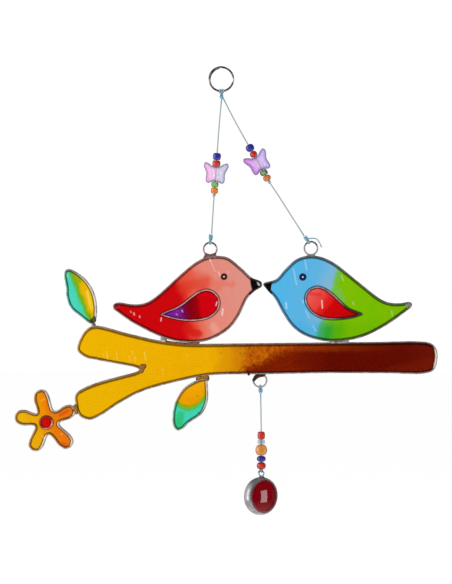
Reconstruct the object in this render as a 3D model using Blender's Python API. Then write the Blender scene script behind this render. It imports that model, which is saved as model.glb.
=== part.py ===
"""Suncatcher with two birds on a forked branch.

Flat figures of metal strip set on edge are filled with clear coloured resin. Two threads
with beads carry the birds from a split ring, and a third thread under the branch carries
a round pendant. Drawing sizes are in millimetres: X runs to the right, Z up, and Y away
from the viewer. The origin is the point inside the top of the split ring where a hook
bears.
"""
import math

import bmesh
import bpy
import numpy as np
from mathutils import Matrix, Vector

MM = 0.001

# Clearance between neighbouring pieces
GAP = 0.3

# Metal strip of the figures, and the finer wire inside the birds
STRIP_WIDTH = 1.15
STRIP_DEPTH = 3.0
WIRE_WIDTH = 0.75
WIRE_DEPTH = 2.6

# The resin is flush with the strip at the back and lies a little lower at the front
RESIN_FRONT = -0.9
RESIN_BACK = 1.4

# Split ring, wound twice, so it is two wires deep
RING_OUTER_RADIUS = 7.4
RING_WIRE = 1.1
RING_CENTRE = (0.0, -6.3)

# Eyes of bent wire on the figures
EYE_RADIUS = 4.25
EYE_WIRE = 1.0
RED_EYE_CENTRE = (-6.3, -103.2)
BLUE_EYE_CENTRE = (51.1, -102.7)
BRANCH_EYE_CENTRE = (22.1, -178.0)

# Threads
THREAD = 0.8
THREAD_SPACING = 3.2
HOLE_RADIUS = THREAD / 2 + GAP

# Flower: each petal's angle in degrees, reach to its tip circle and tip radius
FLOWER_CENTRE = (-99.7, -202.0)
PETALS = [(101.0, 14.7, 4.4), (26.0, 14.2, 4.0), (-44.0, 15.4, 4.4), (244.0, 13.4, 4.4), (168.0, 13.9, 4.5)]
PETAL_TURNS = (95, 45, 0, -45, -95)

# The valley after each petal: its angle in degrees and its distance from the centre
VALLEYS = [(55.3, 8.1), (-4.0, 7.5), (-78.0, 7.2), (199.0, 7.0), (135.5, 7.7)]
FLOWER_RING_RADIUS = 3.8
FLOWER_RING_WIDTH = 0.8
FLOWER_RING_SIDES = 18

# Pendant: a thick round glass in a bulging metal band, turned about the thread
PENDANT_CENTRE = (22.55, -243.9)
PENDANT_TURN = math.radians(38)
BAND_WIDTH = 6.6
BAND_INNER_RADIUS = 9.2
BAND_RIM = 0.1
BAND_BULGE = 1.45
BAND_ARCS = 5
BAND_SIDES = 26

# Glass of the pendant: thickness at its edge, which stands a little proud of the band, and radius
# and rise of points on its low dome
GLASS_EDGE = 7.2
GLASS_FACE = [(0, 1.1), (4.3, 0.86), (7.3, 0.3), (BAND_INNER_RADIUS - GAP, 0)]
GLASS_SIDES = 24

# Ring between the pendant and its thread
PENDANT_RING_CENTRE = (22.9, -231.05)
PENDANT_RING_RADIUS = 1.76
PENDANT_RING_WIRE = 0.72

# Closeness of the faceted outlines to the drawn curves, and how much of its distance a point of a
# moved outline must keep from the first outline
CURVE_STEP = 0.5
FACET_ERROR = 0.13
OFFSET_KEPT = 0.98
FULL_TURN = 2 * math.pi

# Spans between the times at four knots, for each round of mixing in a Catmull-Rom curve
CURVE_MIXES = [[(0, 1), (1, 2), (2, 3)], [(0, 2), (1, 3)], [(1, 2)]]

# Colours
TIN = (0.42, 0.40, 0.39)
CRIMSON = (0.62, 0.02, 0.03)


def finish(name, colour, roughness=0.15, metallic=0.0):
    """A Principled material of one colour."""
    material = bpy.data.materials.get(name) or bpy.data.materials.new(name)
    material.use_nodes = True
    shader = material.node_tree.nodes["Principled BSDF"]
    shader.inputs["Base Color"].default_value = (*colour, 1.0)
    shader.inputs["Roughness"].default_value = roughness
    shader.inputs["Metallic"].default_value = metallic
    return material


def finished(name, shape, material, smooth=False):
    """Makes an object of a bmesh whose sizes are in millimetres."""
    bmesh.ops.recalc_face_normals(shape, faces=shape.faces)
    bmesh.ops.scale(shape, vec=(MM, MM, MM), verts=shape.verts)
    mesh = bpy.data.meshes.new(name)
    shape.to_mesh(mesh)
    shape.free()
    if smooth:
        mesh.shade_smooth()
        mesh.set_sharp_from_angle(angle=math.radians(40))
    mesh.materials.append(material)
    piece = bpy.data.objects.new(name, mesh)
    bpy.context.collection.objects.link(piece)
    return piece


def placed(piece, centre, turn=0.0):
    """Puts a piece at a point of the drawing plane, turned clockwise as the viewer sees it."""
    piece.location = (centre[0] * MM, 0, centre[1] * MM)
    piece.rotation_euler = (0, turn, 0)
    return piece


def combined(piece, other, operation):
    """Joins a helper to a piece, or cuts it away, and leaves the helper out of the model."""
    other.hide_render = True
    other.display_type = "WIRE"
    change = piece.modifiers.new(operation.lower(), "BOOLEAN")
    change.operation = operation
    change.object = other
    return piece


# Outlines

def smooth_run(knots):
    """Points of a centripetal Catmull-Rom curve from the first knot to the last."""
    knots = [Vector(knot) for knot in knots]
    before = knots[0] * 2 - knots[1]
    after = knots[-1] * 2 - knots[-2]
    padded = [before, *knots, after]
    points = []
    for start, left, right, end in zip(padded, padded[1:], padded[2:], padded[3:]):
        times = [0.0]
        for first, second in ((start, left), (left, right), (right, end)):
            times.append(times[-1] + math.sqrt((second - first).length))
        steps = max(2, math.ceil((right - left).length / CURVE_STEP))
        for step in range(steps):
            when = times[1] + (times[2] - times[1]) * step / steps
            points.append(on_curve([start, left, right, end], times, when))
    points.append(knots[-1])
    return points


def on_curve(level, times, when):
    """One point of the curve through four knots, by mixing neighbours three times over."""
    for spans in CURVE_MIXES:
        shares = [(when - times[low]) / (times[high] - times[low]) for low, high in spans]
        level = [level[index].lerp(level[index + 1], share) for index, share in enumerate(shares)]
    return level[0]


def outline(*runs):
    """A closed outline of smooth runs that meet at corners."""
    points = []
    for run in runs:
        points += smooth_run(run)[:-1]
    return anticlockwise(points)


def round_outline(knots):
    """A closed smooth outline with no corner."""
    overlap = 3
    looped = knots[-overlap:] + knots + knots[:overlap]
    run = smooth_run(looped)
    first = nearest_index(run, knots[0])
    last = nearest_index(run, knots[0], start=first + 2)
    return anticlockwise(run[first:last])


def nearest_index(points, target, start=0):
    """Index of the point closest to a target, looking from a given place on."""
    target = Vector(target)
    return min(range(start, len(points)), key=lambda index: (points[index] - target).length)


def circle(centre, radius, sides):
    """A closed outline of points on a circle."""
    points = []
    for side in range(sides):
        angle = FULL_TURN * side / sides
        points.append(Vector(centre) + radius * Vector((math.cos(angle), math.sin(angle))))
    return points


def anticlockwise(points):
    """The same outline, running with its inside on the left."""
    area = 0.0
    for here, ahead in zip(points, points[1:] + points[:1]):
        area += here.x * ahead.y - ahead.x * here.y
    return points if area > 0 else points[::-1]


def distance_to(corners, point):
    """Shortest distance from a point to a closed outline, given as an array."""
    ahead = np.roll(corners, -1, axis=0)
    edge = ahead - corners
    share = ((point - corners) * edge).sum(axis=1) / (edge * edge).sum(axis=1)
    foot = corners + edge * np.clip(share, 0, 1)[:, None]
    return np.sqrt(((point - foot) ** 2).sum(axis=1)).min()


def grown(points, distance):
    """The outline moved outwards by a distance, or inwards by a negative one."""
    corners = np.array([tuple(point) for point in points])
    back = corners - np.roll(corners, 1, axis=0)
    ahead = np.roll(corners, -1, axis=0) - corners
    along = unit_rows(unit_rows(back) + unit_rows(ahead))
    outward = np.column_stack((along[:, 1], -along[:, 0]))
    moved = corners + distance * outward
    allowed = abs(distance) * OFFSET_KEPT
    return [Vector(point) for point in moved if distance_to(corners, point) > allowed]


def unit_rows(rows):
    """The same directions with a length of one."""
    return rows / np.linalg.norm(rows, axis=1)[:, None]


def thinned(points, error=FACET_ERROR):
    """The outline with only the points that it needs to stay within an error of itself."""
    far = max(range(len(points)), key=lambda index: (points[index] - points[0]).length)
    there = simplified(points[:far + 1], error)
    back = simplified(points[far:] + points[:1], error)
    return there[:-1] + back[:-1]


def simplified(points, error):
    """An open run of points without those that lie within an error of a straight line."""
    if len(points) < 3:
        return points
    start, end = points[0], points[-1]
    along = (end - start).normalized()
    sides = [abs(along.x * (point - start).y - along.y * (point - start).x) for point in points]
    worst = max(range(len(points)), key=sides.__getitem__)
    if sides[worst] < error:
        return [start, end]
    return simplified(points[:worst + 1], error)[:-1] + simplified(points[worst:], error)


# Shapes

def plate(name, loops, front, back, material):
    """A flat solid between two depths. The first loop is its edge, and the others are holes."""
    shape = bmesh.new()
    for loop in loops:
        corners = [shape.verts.new((point[0], front, point[1])) for point in loop]
        for here, ahead in zip(corners, corners[1:] + corners[:1]):
            shape.edges.new((here, ahead))
    filled = bmesh.ops.triangle_fill(
        shape, use_beauty=True, use_dissolve=False, edges=shape.edges, normal=(0, 1, 0))
    faces = [item for item in filled["geom"] if isinstance(item, bmesh.types.BMFace)]
    raised = bmesh.ops.extrude_face_region(shape, geom=faces)
    corners = [item for item in raised["geom"] if isinstance(item, bmesh.types.BMVert)]
    bmesh.ops.translate(shape, vec=(0, back - front, 0), verts=corners)
    return finished(name, shape, material)


def turned(name, profile, sides, material, stretch=1.0):
    """A solid turned about its upright axis. The profile is a closed run of (radius, height) points,
    and a profile that touches the axis at both ends is left open there."""
    shape = bmesh.new()
    corners = [shape.verts.new((radius, 0, height)) for radius, height in profile]
    edges = [shape.edges.new(pair) for pair in zip(corners, corners[1:])]
    solid = profile[0][0] == 0 and profile[-1][0] == 0
    if not solid:
        edges.append(shape.edges.new((corners[-1], corners[0])))
    bmesh.ops.spin(
        shape, geom=corners + edges, cent=(0, 0, 0), axis=(0, 0, 1), angle=FULL_TURN, steps=sides,
        use_merge=True)
    bmesh.ops.remove_doubles(shape, verts=shape.verts, dist=0.001)
    bmesh.ops.scale(shape, vec=(stretch, 1, 1), verts=shape.verts)
    return finished(name, shape, material, smooth=True)


def wire_ring(name, centre, outer_radius, width, depth, steps, sides, material):
    """A ring that faces the viewer, with a section that may be deeper than it is wide."""
    shape = bmesh.new()
    middle = outer_radius - width / 2
    corners = []
    for side in range(sides):
        angle = FULL_TURN * (side + 0.5) / sides
        across = middle + width / 2 * math.cos(angle)
        corners.append(shape.verts.new((across, depth / 2 * math.sin(angle), 0)))
    edges = [shape.edges.new(pair) for pair in zip(corners, corners[1:] + corners[:1])]
    bmesh.ops.spin(
        shape, geom=corners + edges, cent=(0, 0, 0), axis=(0, 1, 0), angle=FULL_TURN, steps=steps,
        use_merge=True)
    return placed(finished(name, shape, material, smooth=True), centre)


def bead_profile(radius, length, hole, shape):
    """Half section of a drilled bead, from its lower end up and back down the hole."""
    flat, roundness, arcs = shape
    end = hole + flat * (radius - hole)
    profile = [(hole, -length / 2), (end, -length / 2)]
    for arc in range(1, arcs):
        angle = math.pi * (arc / arcs - 0.5)
        bulge = (radius - end) * math.cos(angle) ** roundness
        profile.append((end + bulge, length / 2 * math.sin(angle)))
    return profile + [(end, length / 2), (hole, length / 2)]


def lump_profile(radius, length, arcs=4):
    """Half section of a solid rounded lump, such as a knot."""
    profile = [(0, -length / 2)]
    for arc in range(1, arcs):
        angle = math.pi * (arc / arcs - 0.5)
        profile.append((radius * math.cos(angle) ** LUMP_ROUNDNESS, length / 2 * math.sin(angle)))
    profile.append((0, length / 2))
    return profile


def cord_route(knots):
    """Evenly spaced points along a smooth curve through the knots."""
    dense = smooth_run(knots)
    lengths = [0.0]
    for here, ahead in zip(dense, dense[1:]):
        lengths.append(lengths[-1] + (ahead - here).length)
    count = max(2, round(lengths[-1] / THREAD_SPACING))
    route = []
    for index in range(count + 1):
        target = lengths[-1] * index / count
        after = next(place for place, length in enumerate(lengths) if length >= target - 1e-6)
        before = max(after - 1, 0)
        span = lengths[after] - lengths[before]
        share = (target - lengths[before]) / span if span else 0.0
        route.append(dense[before].lerp(dense[after], share))
    return route


def cord(name, knots, diameter, material):
    """A round cord along a smooth curve in the drawing plane."""
    route = cord_route(knots)
    curve = bpy.data.curves.new(name, "CURVE")
    curve.dimensions = "3D"
    curve.bevel_depth = diameter / 2 * MM
    curve.bevel_resolution = 2
    curve.use_fill_caps = True
    spline = curve.splines.new("POLY")
    spline.points.add(len(route) - 1)
    for point, place in zip(spline.points, route):
        point.co = (place.x * MM, 0, place.y * MM, 1)
    curve.materials.append(material)
    piece = bpy.data.objects.new(name, curve)
    bpy.context.collection.objects.link(piece)
    return piece


def hung_at(knots, height):
    """The point of a cord at a height, and the turn of the cord there from upright."""
    dense = smooth_run(knots)
    place = next(index for index, point in enumerate(dense) if point.y <= height)
    above, below = dense[place - 1], dense[place]
    share = (above.y - height) / (above.y - below.y)
    along = dense[max(place - 8, 0)] - dense[min(place + 8, len(dense) - 1)]
    return above.lerp(below, share), math.atan2(along.x, along.y)


# Figures

RED_BIRD = [
    [(23.3, -123.3), (22.8, -121.9), (21.2, -120.9), (17.7, -119.6), (11.7, -114.1), (3.5, -107.9),
     (-3.5, -107.0), (-9.0, -107.9), (-15.4, -111.2), (-23.1, -117.5), (-38.1, -130.9), (-44.0, -134.0),
     (-50.9, -134.6), (-58.9, -133.6), (-61.6, -135.1), (-61.3, -137.6)],
    [(-61.3, -137.6), (-49.4, -145.8), (-31.0, -154.4), (-20.7, -156.3), (-9.9, -155.8), (-1.9, -152.9),
     (5.3, -147.8), (10.0, -141.5), (15.2, -131.0), (19.2, -127.0), (21.5, -125.6), (22.9, -124.7),
     (23.3, -123.3)]]
BLUE_BIRD = [
    [(23.8, -123.5), (24.5, -122.4), (31.1, -120.3), (36.5, -114.5), (43.1, -108.7), (50.7, -106.8),
     (57.8, -107.9), (65.0, -111.5), (77.2, -121.1), (91.1, -131.8), (96.2, -133.7), (101.9, -134.0),
     (107.6, -133.4), (108.7, -134.8), (107.0, -137.3)],
    [(107.0, -137.4), (94.1, -146.5), (80.6, -153.2), (65.9, -155.9), (56.3, -155.2), (47.5, -152.4),
     (40.6, -147.5), (35.4, -140.3), (30.4, -131.2), (26.7, -127.1), (23.8, -123.5)]]
RED_WING = [
    [(-34.2, -140.5), (-30.7, -138.7), (-26.4, -137.2), (-22.0, -134.6), (-16.4, -130.2), (-12.1, -127.4),
     (-7.9, -126.5), (-3.6, -128.4), (-1.3, -132.4), (-1.9, -137.2), (-5.2, -140.8), (-9.3, -142.7),
     (-16.4, -143.7), (-23.5, -143.2), (-29.2, -142.0), (-34.2, -140.5)]]
BLUE_WING = [
    [(79.8, -140.2), (75.7, -138.7), (71.9, -136.9), (67.7, -133.2), (63.4, -129.1), (59.1, -126.1),
     (55.0, -124.8), (51.3, -125.8), (48.8, -128.4), (48.1, -132.3), (49.9, -136.8), (53.4, -140.2),
     (57.7, -142.2), (63.4, -142.9), (70.5, -142.5), (75.7, -141.6), (79.8, -140.2)]]
BRANCH = [
    (-72.6, -146.8), (-52.0, -151.5), (-36.0, -155.1), (-20.0, -157.0), (-5.0, -157.1), (10.0, -156.9),
    (44.9, -156.4), (87.6, -156.1), (113.0, -155.8), (119.5, -156.9), (122.6, -160.2), (123.1, -165.5),
    (121.1, -172.0), (115.1, -174.1), (94.7, -173.9), (59.1, -173.8), (24.9, -174.5), (2.1, -174.6),
    (-9.0, -175.4), (-23.3, -178.2), (-44.9, -184.2), (-58.6, -191.3), (-68.2, -197.7), (-74.8, -200.4),
    (-80.4, -198.5), (-82.4, -195.0), (-83.2, -190.4), (-83.5, -187.6), (-82.3, -184.9), (-78.4, -182.3),
    (-73.3, -180.1), (-65.5, -177.6), (-55.2, -174.9), (-48.7, -173.1), (-46.8, -171.9), (-48.7, -170.7),
    (-53.1, -169.7), (-60.3, -168.4), (-70.7, -166.4), (-77.2, -164.9), (-82.0, -160.9), (-80.9, -155.3),
    (-76.9, -149.0)]
UPPER_LEAF = [
    [(-73.2, -146.0), (-75.6, -145.2), (-80.8, -141.2), (-86.0, -136.5), (-88.2, -130.5), (-88.6, -124.5),
     (-89.7, -118.5), (-89.0, -115.4), (-86.6, -114.5), (-77.9, -119.7), (-72.9, -126.9), (-70.9, -135.0),
     (-71.1, -142.0), (-72.1, -145.3), (-73.2, -146.0)]]
LOWER_LEAF = [
    [(-8.0, -176.7), (-7.5, -183.5), (-7.8, -190.2), (-10.9, -196.8), (-18.5, -202.3), (-21.8, -205.6),
     (-24.6, -206.6), (-27.0, -204.7), (-27.8, -197.5), (-25.8, -189.3), (-21.0, -182.1), (-14.4, -178.1),
     (-11.0, -177.0), (-8.0, -176.7)]]

# Half of a butterfly bead's edge, from the notch at the top down to the tail, and its sizes
BUTTERFLY_HALF = [(0.0, 3.2), (2.7, 3.9), (4.7, 6.3), (6.5, 6.4), (7.1, 4.6), (5.4, 0.4), (5.5, -2.4),
                  (5.1, -4.6), (3.8, -5.2), (1.6, -4.3), (0.0, -4.1)]
BUTTERFLY_THICK = 2.8
BUTTERFLY_BODY_RADIUS = 1.9
BUTTERFLY_LENGTH = 8.2

# Routes of the threads, from the upper knot down
LEFT_THREAD = [(0.2, -17.3), (-1.2, -32.4), (-2.4, -49.0), (-4.1, -72.6), (-5.5, -94.3)]
RIGHT_THREAD = [(1.0, -17.0), (8.4, -31.4), (15.6, -44.2), (26.9, -64.1), (33.6, -74.3), (41.4, -86.6),
                (47.2, -95.6)]
PENDANT_THREAD = [(22.4, -185.1), (22.6, -196.0), (22.75, -207.5), (22.8, -228.2)]
TAIL_ROUTE = [(50.3, -97.2), (52.4, -97.0), (54.3, -97.4), (55.6, -98.8), (57.0, -101.5)]

# Shapes of drilled beads: the share of the way from the hole to the full radius where the flat end
# stops, how full the curve from there is (less is fuller), and the number of its faces
BARREL = (0.3, 0.55, 4)
BALL = (0.12, 0.95, 4)
FINE_BALL = (0.1, 0.97, 6)

# Beads by name, radius, length and shape, down each thread, with the height where the row starts
LEFT_BEADS = [("blue_bead", 2.3, 3.9, BARREL), ("red_bead", 2.3, 3.5, BARREL),
              ("butterfly", 0.0, BUTTERFLY_LENGTH, None), ("green_bead", 2.1, 2.9, BARREL),
              ("orange_bead", 2.05, 3.4, BARREL), ("stop_knot", 1.1, 1.4, BARREL)]
RIGHT_BEADS = [("blue_bead", 2.45, 4.1, BALL), ("red_bead", 2.1, 3.5, BALL),
               ("butterfly", 0.0, BUTTERFLY_LENGTH, None), ("green_bead", 2.25, 3.0, BARREL),
               ("orange_bead", 2.25, 3.4, BALL), ("stop_knot", 1.1, 1.4, BARREL)]
LEFT_BEADS_TOP = -48.3
RIGHT_BEADS_TOP = -43.6
PENDANT_BEADS = [("upper_red_bead", 2.15, 4.3, BARREL), ("clear_bead", 2.15, 2.5, BARREL),
                 ("amber_bead", 3.35, 6.1, FINE_BALL), ("lower_blue_bead", 2.6, 3.3, BALL),
                 ("lower_red_bead", 2.6, 3.5, BALL)]
PENDANT_BEADS_TOP = -207.3
BEAD_SIDES = 8
KNOT_SIDES = 8

# How full the curve of a knot or a lump of solder is: less is fuller
LUMP_ROUNDNESS = 0.7

# Knots at the ends of the threads: middle, radius and length
RING_KNOT = ((0.1, -15.6), 1.2, 2.8)
RED_KNOT = ((-5.9, -96.6), 1.35, 3.8)
BLUE_KNOT = ((48.35, -97.2), 1.25, 2.5)
BRANCH_KNOT = ((22.4, -183.7), 1.5, 2.2)
PENDANT_KNOT = ((22.85, -228.77), 1.3, 0.55)
BLUE_KNOT_TURN = math.radians(-32)

# Pads of solder on the back, across two strips: middle, half length, half width and slope in degrees
SOLDER = [("red_bird_joint", (-18.5, -156.7), 5.0, 1.6, 2.0),
          ("blue_bird_joint", (64.5, -156.2), 5.0, 1.6, -1.0),
          ("upper_leaf_joint", (-72.6, -146.3), 1.8, 1.5, 0.0),
          ("lower_leaf_joint", (-9.7, -176.2), 2.4, 1.5, 12.0),
          ("flower_joint", (-83.1, -194.2), 2.6, 1.5, 78.0)]
SOLDER_HEIGHT = 0.8
PAD_SIDES = 8

# Solder that fills in under each eye: the edge of the patch
RED_EYE_TAB = [(-10.0, -109.0), (-9.5, -106.8), (-9.1, -105.8), (-3.5, -105.8), (-3.1, -106.8),
               (-2.6, -109.0)]
BLUE_EYE_TAB = [(48.2, -108.0), (48.7, -106.7), (49.6, -106.1), (52.6, -106.1), (53.5, -106.7),
                (54.0, -108.0)]
BRANCH_EYE_TAB = [(19.1, -172.5), (19.4, -174.9), (21.0, -175.6), (23.4, -175.4), (24.2, -174.8),
                  (24.4, -172.5)]
TAB_DEPTH = 2.0

COLOURS = {
    "blue_bead": (0.03, 0.03, 0.42), "red_bead": (0.68, 0.02, 0.02), "butterfly": (0.80, 0.55, 0.85),
    "green_bead": (0.10, 0.42, 0.10), "orange_bead": (0.80, 0.25, 0.02), "stop_knot": (0.20, 0.38, 0.46),
    "clear_bead": (0.55, 0.66, 0.75), "amber_bead": (0.78, 0.38, 0.08)}


def strip_figure(name, edge, resin_colour, holes=()):
    """A frame of strip along an edge, and the resin inside it, around any holes."""
    tin = finish("tin_strip", TIN, 0.35, 1.0)
    inner = grown(edge, -STRIP_WIDTH)
    poured = grown(edge, -STRIP_WIDTH - GAP)
    plate(name + "_frame", [thinned(edge), thinned(inner)], -STRIP_DEPTH / 2, STRIP_DEPTH / 2, tin)
    resin = finish(name + "_resin", resin_colour, 0.08)
    loops = [thinned(poured), *(thinned(hole) for hole in holes)]
    plate(name + "_resin", loops, RESIN_FRONT, RESIN_BACK, resin)


def wing(name, middle_line, resin_colour):
    """A loop of wire set in a bird's resin and filled with resin of its own."""
    wire = finish("wing_wire", TIN, 0.3, 1.0)
    outer = grown(middle_line, WIRE_WIDTH / 2)
    inner = grown(middle_line, -WIRE_WIDTH / 2)
    poured = grown(middle_line, -WIRE_WIDTH / 2 - GAP)
    plate(name + "_wire", [thinned(outer), thinned(inner)], -WIRE_DEPTH / 2, WIRE_DEPTH / 2, wire)
    resin = finish(name + "_resin", resin_colour, 0.08)
    plate(name + "_resin", [thinned(poured)], RESIN_FRONT, RESIN_BACK, resin)
    return grown(middle_line, WIRE_WIDTH / 2 + GAP)


def polar(centre, degrees, distance):
    """The point at an angle and a distance from a centre."""
    angle = math.radians(degrees)
    return centre[0] + distance * math.cos(angle), centre[1] + distance * math.sin(angle)


def flower_edge():
    """Five fingers with round tips, with a valley after each, going round clockwise."""
    knots = []
    for (angle, reach, tip_radius), (valley_angle, valley_distance) in zip(PETALS, VALLEYS):
        tip = polar(FLOWER_CENTRE, angle, reach)
        for turn in PETAL_TURNS:
            knots.append(polar(tip, angle + turn, tip_radius))
        knots.append(polar(FLOWER_CENTRE, valley_angle, valley_distance))
    return round_outline(knots)


def make_figures():
    """The birds, the branch, the leaves and the flower."""
    red_wing_hole = wing("red_wing", outline(*RED_WING), (0.45, 0.0, 0.03))
    blue_wing_hole = wing("blue_wing", outline(*BLUE_WING), (0.75, 0.05, 0.04))
    strip_figure("red_bird", outline(*RED_BIRD), (0.75, 0.08, 0.05), [red_wing_hole])
    strip_figure("blue_bird", outline(*BLUE_BIRD), (0.10, 0.45, 0.55), [blue_wing_hole])
    strip_figure("branch", round_outline(BRANCH), (0.70, 0.30, 0.01))
    strip_figure("upper_leaf", outline(*UPPER_LEAF), (0.35, 0.60, 0.15))
    strip_figure("lower_leaf", outline(*LOWER_LEAF), (0.45, 0.55, 0.12))
    inner_radius = FLOWER_RING_RADIUS - FLOWER_RING_WIDTH
    ring_outer = circle(FLOWER_CENTRE, FLOWER_RING_RADIUS, FLOWER_RING_SIDES)
    ring_inner = circle(FLOWER_CENTRE, inner_radius, FLOWER_RING_SIDES)
    ring_hole = circle(FLOWER_CENTRE, FLOWER_RING_RADIUS + GAP, FLOWER_RING_SIDES)
    disc = circle(FLOWER_CENTRE, inner_radius - GAP, FLOWER_RING_SIDES)
    strip_figure("flower", flower_edge(), (0.85, 0.30, 0.01), [ring_hole])
    tin = finish("tin_strip", TIN, 0.35, 1.0)
    plate("flower_centre_ring", [ring_outer, ring_inner], -WIRE_DEPTH / 2, WIRE_DEPTH / 2, tin)
    red = finish("flower_centre_resin", CRIMSON, 0.08)
    plate("flower_centre_resin", [disc], RESIN_FRONT, RESIN_BACK, red)


def make_eye(name, centre, tab, edge):
    """A wire eye with solder under it, cut to the strip that it stands on."""
    tin = finish("eye_wire", (0.28, 0.27, 0.27), 0.3, 1.0)
    eye = wire_ring(name, centre, EYE_RADIUS, EYE_WIRE, EYE_WIRE, steps=18, sides=5, material=tin)
    combined(eye, plate(name + "_tab", [tab], -TAB_DEPTH / 2, TAB_DEPTH / 2, tin), "UNION")
    room = plate(name + "_room", [thinned(grown(edge, GAP))], -STRIP_DEPTH, STRIP_DEPTH, tin)
    combined(eye, room, "DIFFERENCE")


def make_solder():
    """Low pads of solder on the back of the strips."""
    tin = finish("solder", (0.45, 0.44, 0.43), 0.4, 1.0)
    for name, (across, height), half_length, half_width, slope in SOLDER:
        shoulder = (half_width * 0.8, SOLDER_HEIGHT * 0.6)
        profile = [(0, 0), (half_width, 0), shoulder, (0, SOLDER_HEIGHT)]
        pad = turned(name, profile, PAD_SIDES, tin, stretch=half_length / half_width)
        lean = Matrix.Rotation(math.radians(-slope), 4, "Y") @ Matrix.Rotation(math.radians(-90), 4, "X")
        place = Vector((across * MM, (STRIP_DEPTH / 2 + GAP) * MM, height * MM))
        pad.matrix_world = Matrix.Translation(place) @ lean


def make_butterfly(name, centre, turn):
    """A flat butterfly with a round body, drilled along the body."""
    plastic = finish("butterfly", COLOURS["butterfly"], 0.1)
    mirrored = [(-across, height) for across, height in BUTTERFLY_HALF[-2:0:-1]]
    edge = thinned(round_outline(BUTTERFLY_HALF + mirrored))
    bead = plate(name, [edge], -BUTTERFLY_THICK / 2, BUTTERFLY_THICK / 2, plastic)
    lump = lump_profile(BUTTERFLY_BODY_RADIUS, BUTTERFLY_LENGTH, arcs=6)
    body = turned(name + "_body", lump, BEAD_SIDES, plastic)
    bore = [(0, -BUTTERFLY_LENGTH), (HOLE_RADIUS, -BUTTERFLY_LENGTH), (HOLE_RADIUS, BUTTERFLY_LENGTH),
            (0, BUTTERFLY_LENGTH)]
    hole = turned(name + "_hole", bore, 6, plastic)
    for piece in (bead, body, hole):
        placed(piece, centre, turn)
    combined(bead, body, "UNION")
    combined(bead, hole, "DIFFERENCE")


def make_bead(name, kind, size, centre, turn):
    """A drilled glass bead, or a knot under the beads."""
    radius, length, shape = size
    profile = bead_profile(radius, length, HOLE_RADIUS, shape)
    bead = turned(name, profile, BEAD_SIDES, finish(kind, COLOURS[kind], 0.1))
    placed(bead, centre, turn)


def string_beads(prefix, route, beads, top):
    """Sets beads along a thread, each a gap below the last."""
    height = top
    for kind, radius, length, shape in beads:
        turn = hung_at(route, height)[1]
        drop = (length / 2 + GAP / 2) * math.cos(turn)
        centre, turn = hung_at(route, height - drop)
        if kind == "butterfly":
            make_butterfly(prefix + kind, centre, turn)
        else:
            sort = kind.replace("upper_", "").replace("lower_", "")
            make_bead(prefix + kind, sort, (radius, length, shape), centre, turn)
        height -= 2 * drop


def make_hanging_gear():
    """The split ring, the threads, their knots and their beads."""
    steel = finish("ring_steel", (0.25, 0.25, 0.26), 0.2, 1.0)
    cotton = finish("thread", (0.45, 0.58, 0.62), 0.8)
    knotted = finish("thread_knot", (0.20, 0.38, 0.46), 0.8)
    wire_ring(
        "hanging_ring", RING_CENTRE, RING_OUTER_RADIUS, RING_WIRE, 2 * RING_WIRE, steps=24, sides=6,
        material=steel)
    cord("left_thread", LEFT_THREAD, THREAD, cotton)
    cord("right_thread", RIGHT_THREAD, THREAD, cotton)
    cord("pendant_thread", PENDANT_THREAD, THREAD, cotton)
    cord("knot_tail", TAIL_ROUTE, THREAD, cotton)
    string_beads("left_", LEFT_THREAD, LEFT_BEADS, LEFT_BEADS_TOP)
    string_beads("right_", RIGHT_THREAD, RIGHT_BEADS, RIGHT_BEADS_TOP)
    string_beads("", PENDANT_THREAD, PENDANT_BEADS, PENDANT_BEADS_TOP)
    knots = {"ring_knot": RING_KNOT, "red_bird_knot": RED_KNOT, "blue_bird_knot": BLUE_KNOT,
             "branch_knot": BRANCH_KNOT, "pendant_knot": PENDANT_KNOT}
    for name, (centre, radius, length) in knots.items():
        knot = turned(name, lump_profile(radius, length), KNOT_SIDES, knotted)
        placed(knot, centre, BLUE_KNOT_TURN if name == "blue_bird_knot" else 0.0)


def make_pendant():
    """A ring, and the round glass in its band, which faces forwards and to the right."""
    tin = finish("pendant_metal", (0.50, 0.50, 0.50), 0.3, 1.0)
    wire_ring(
        "pendant_ring", PENDANT_RING_CENTRE, PENDANT_RING_RADIUS, PENDANT_RING_WIRE, PENDANT_RING_WIRE,
        steps=12, sides=5, material=tin)
    half = BAND_WIDTH / 2
    rim_radius = BAND_INNER_RADIUS + BAND_RIM
    profile = [(BAND_INNER_RADIUS, -half)]
    for step in range(BAND_ARCS + 1):
        angle = math.pi * (step / BAND_ARCS - 0.5)
        profile.append((rim_radius + BAND_BULGE * math.cos(angle), half * math.sin(angle)))
    profile.append((BAND_INNER_RADIUS, half))
    band = turned("pendant_band", profile, BAND_SIDES, tin)
    front = [(radius, GLASS_EDGE / 2 + rise) for radius, rise in GLASS_FACE]
    back = [(radius, -depth) for radius, depth in front[::-1]]
    glass = turned("pendant_glass", front + back, GLASS_SIDES, finish("pendant_glass", CRIMSON, 0.05))
    facing = Matrix.Rotation(PENDANT_TURN, 4, "Z") @ Matrix.Rotation(math.radians(90), 4, "X")
    place = Matrix.Translation((PENDANT_CENTRE[0] * MM, 0, PENDANT_CENTRE[1] * MM))
    band.matrix_world = place @ facing
    glass.matrix_world = place @ facing


def main():
    """Builds the whole suncatcher in an empty scene."""
    for leftover in list(bpy.data.objects):
        bpy.data.objects.remove(leftover, do_unlink=True)
    make_hanging_gear()
    make_figures()
    make_eye("red_bird_eye_ring", RED_EYE_CENTRE, RED_EYE_TAB, outline(*RED_BIRD))
    make_eye("blue_bird_eye_ring", BLUE_EYE_CENTRE, BLUE_EYE_TAB, outline(*BLUE_BIRD))
    make_eye("branch_eye_ring", BRANCH_EYE_CENTRE, BRANCH_EYE_TAB, round_outline(BRANCH))
    make_solder()
    make_pendant()


main()
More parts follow.
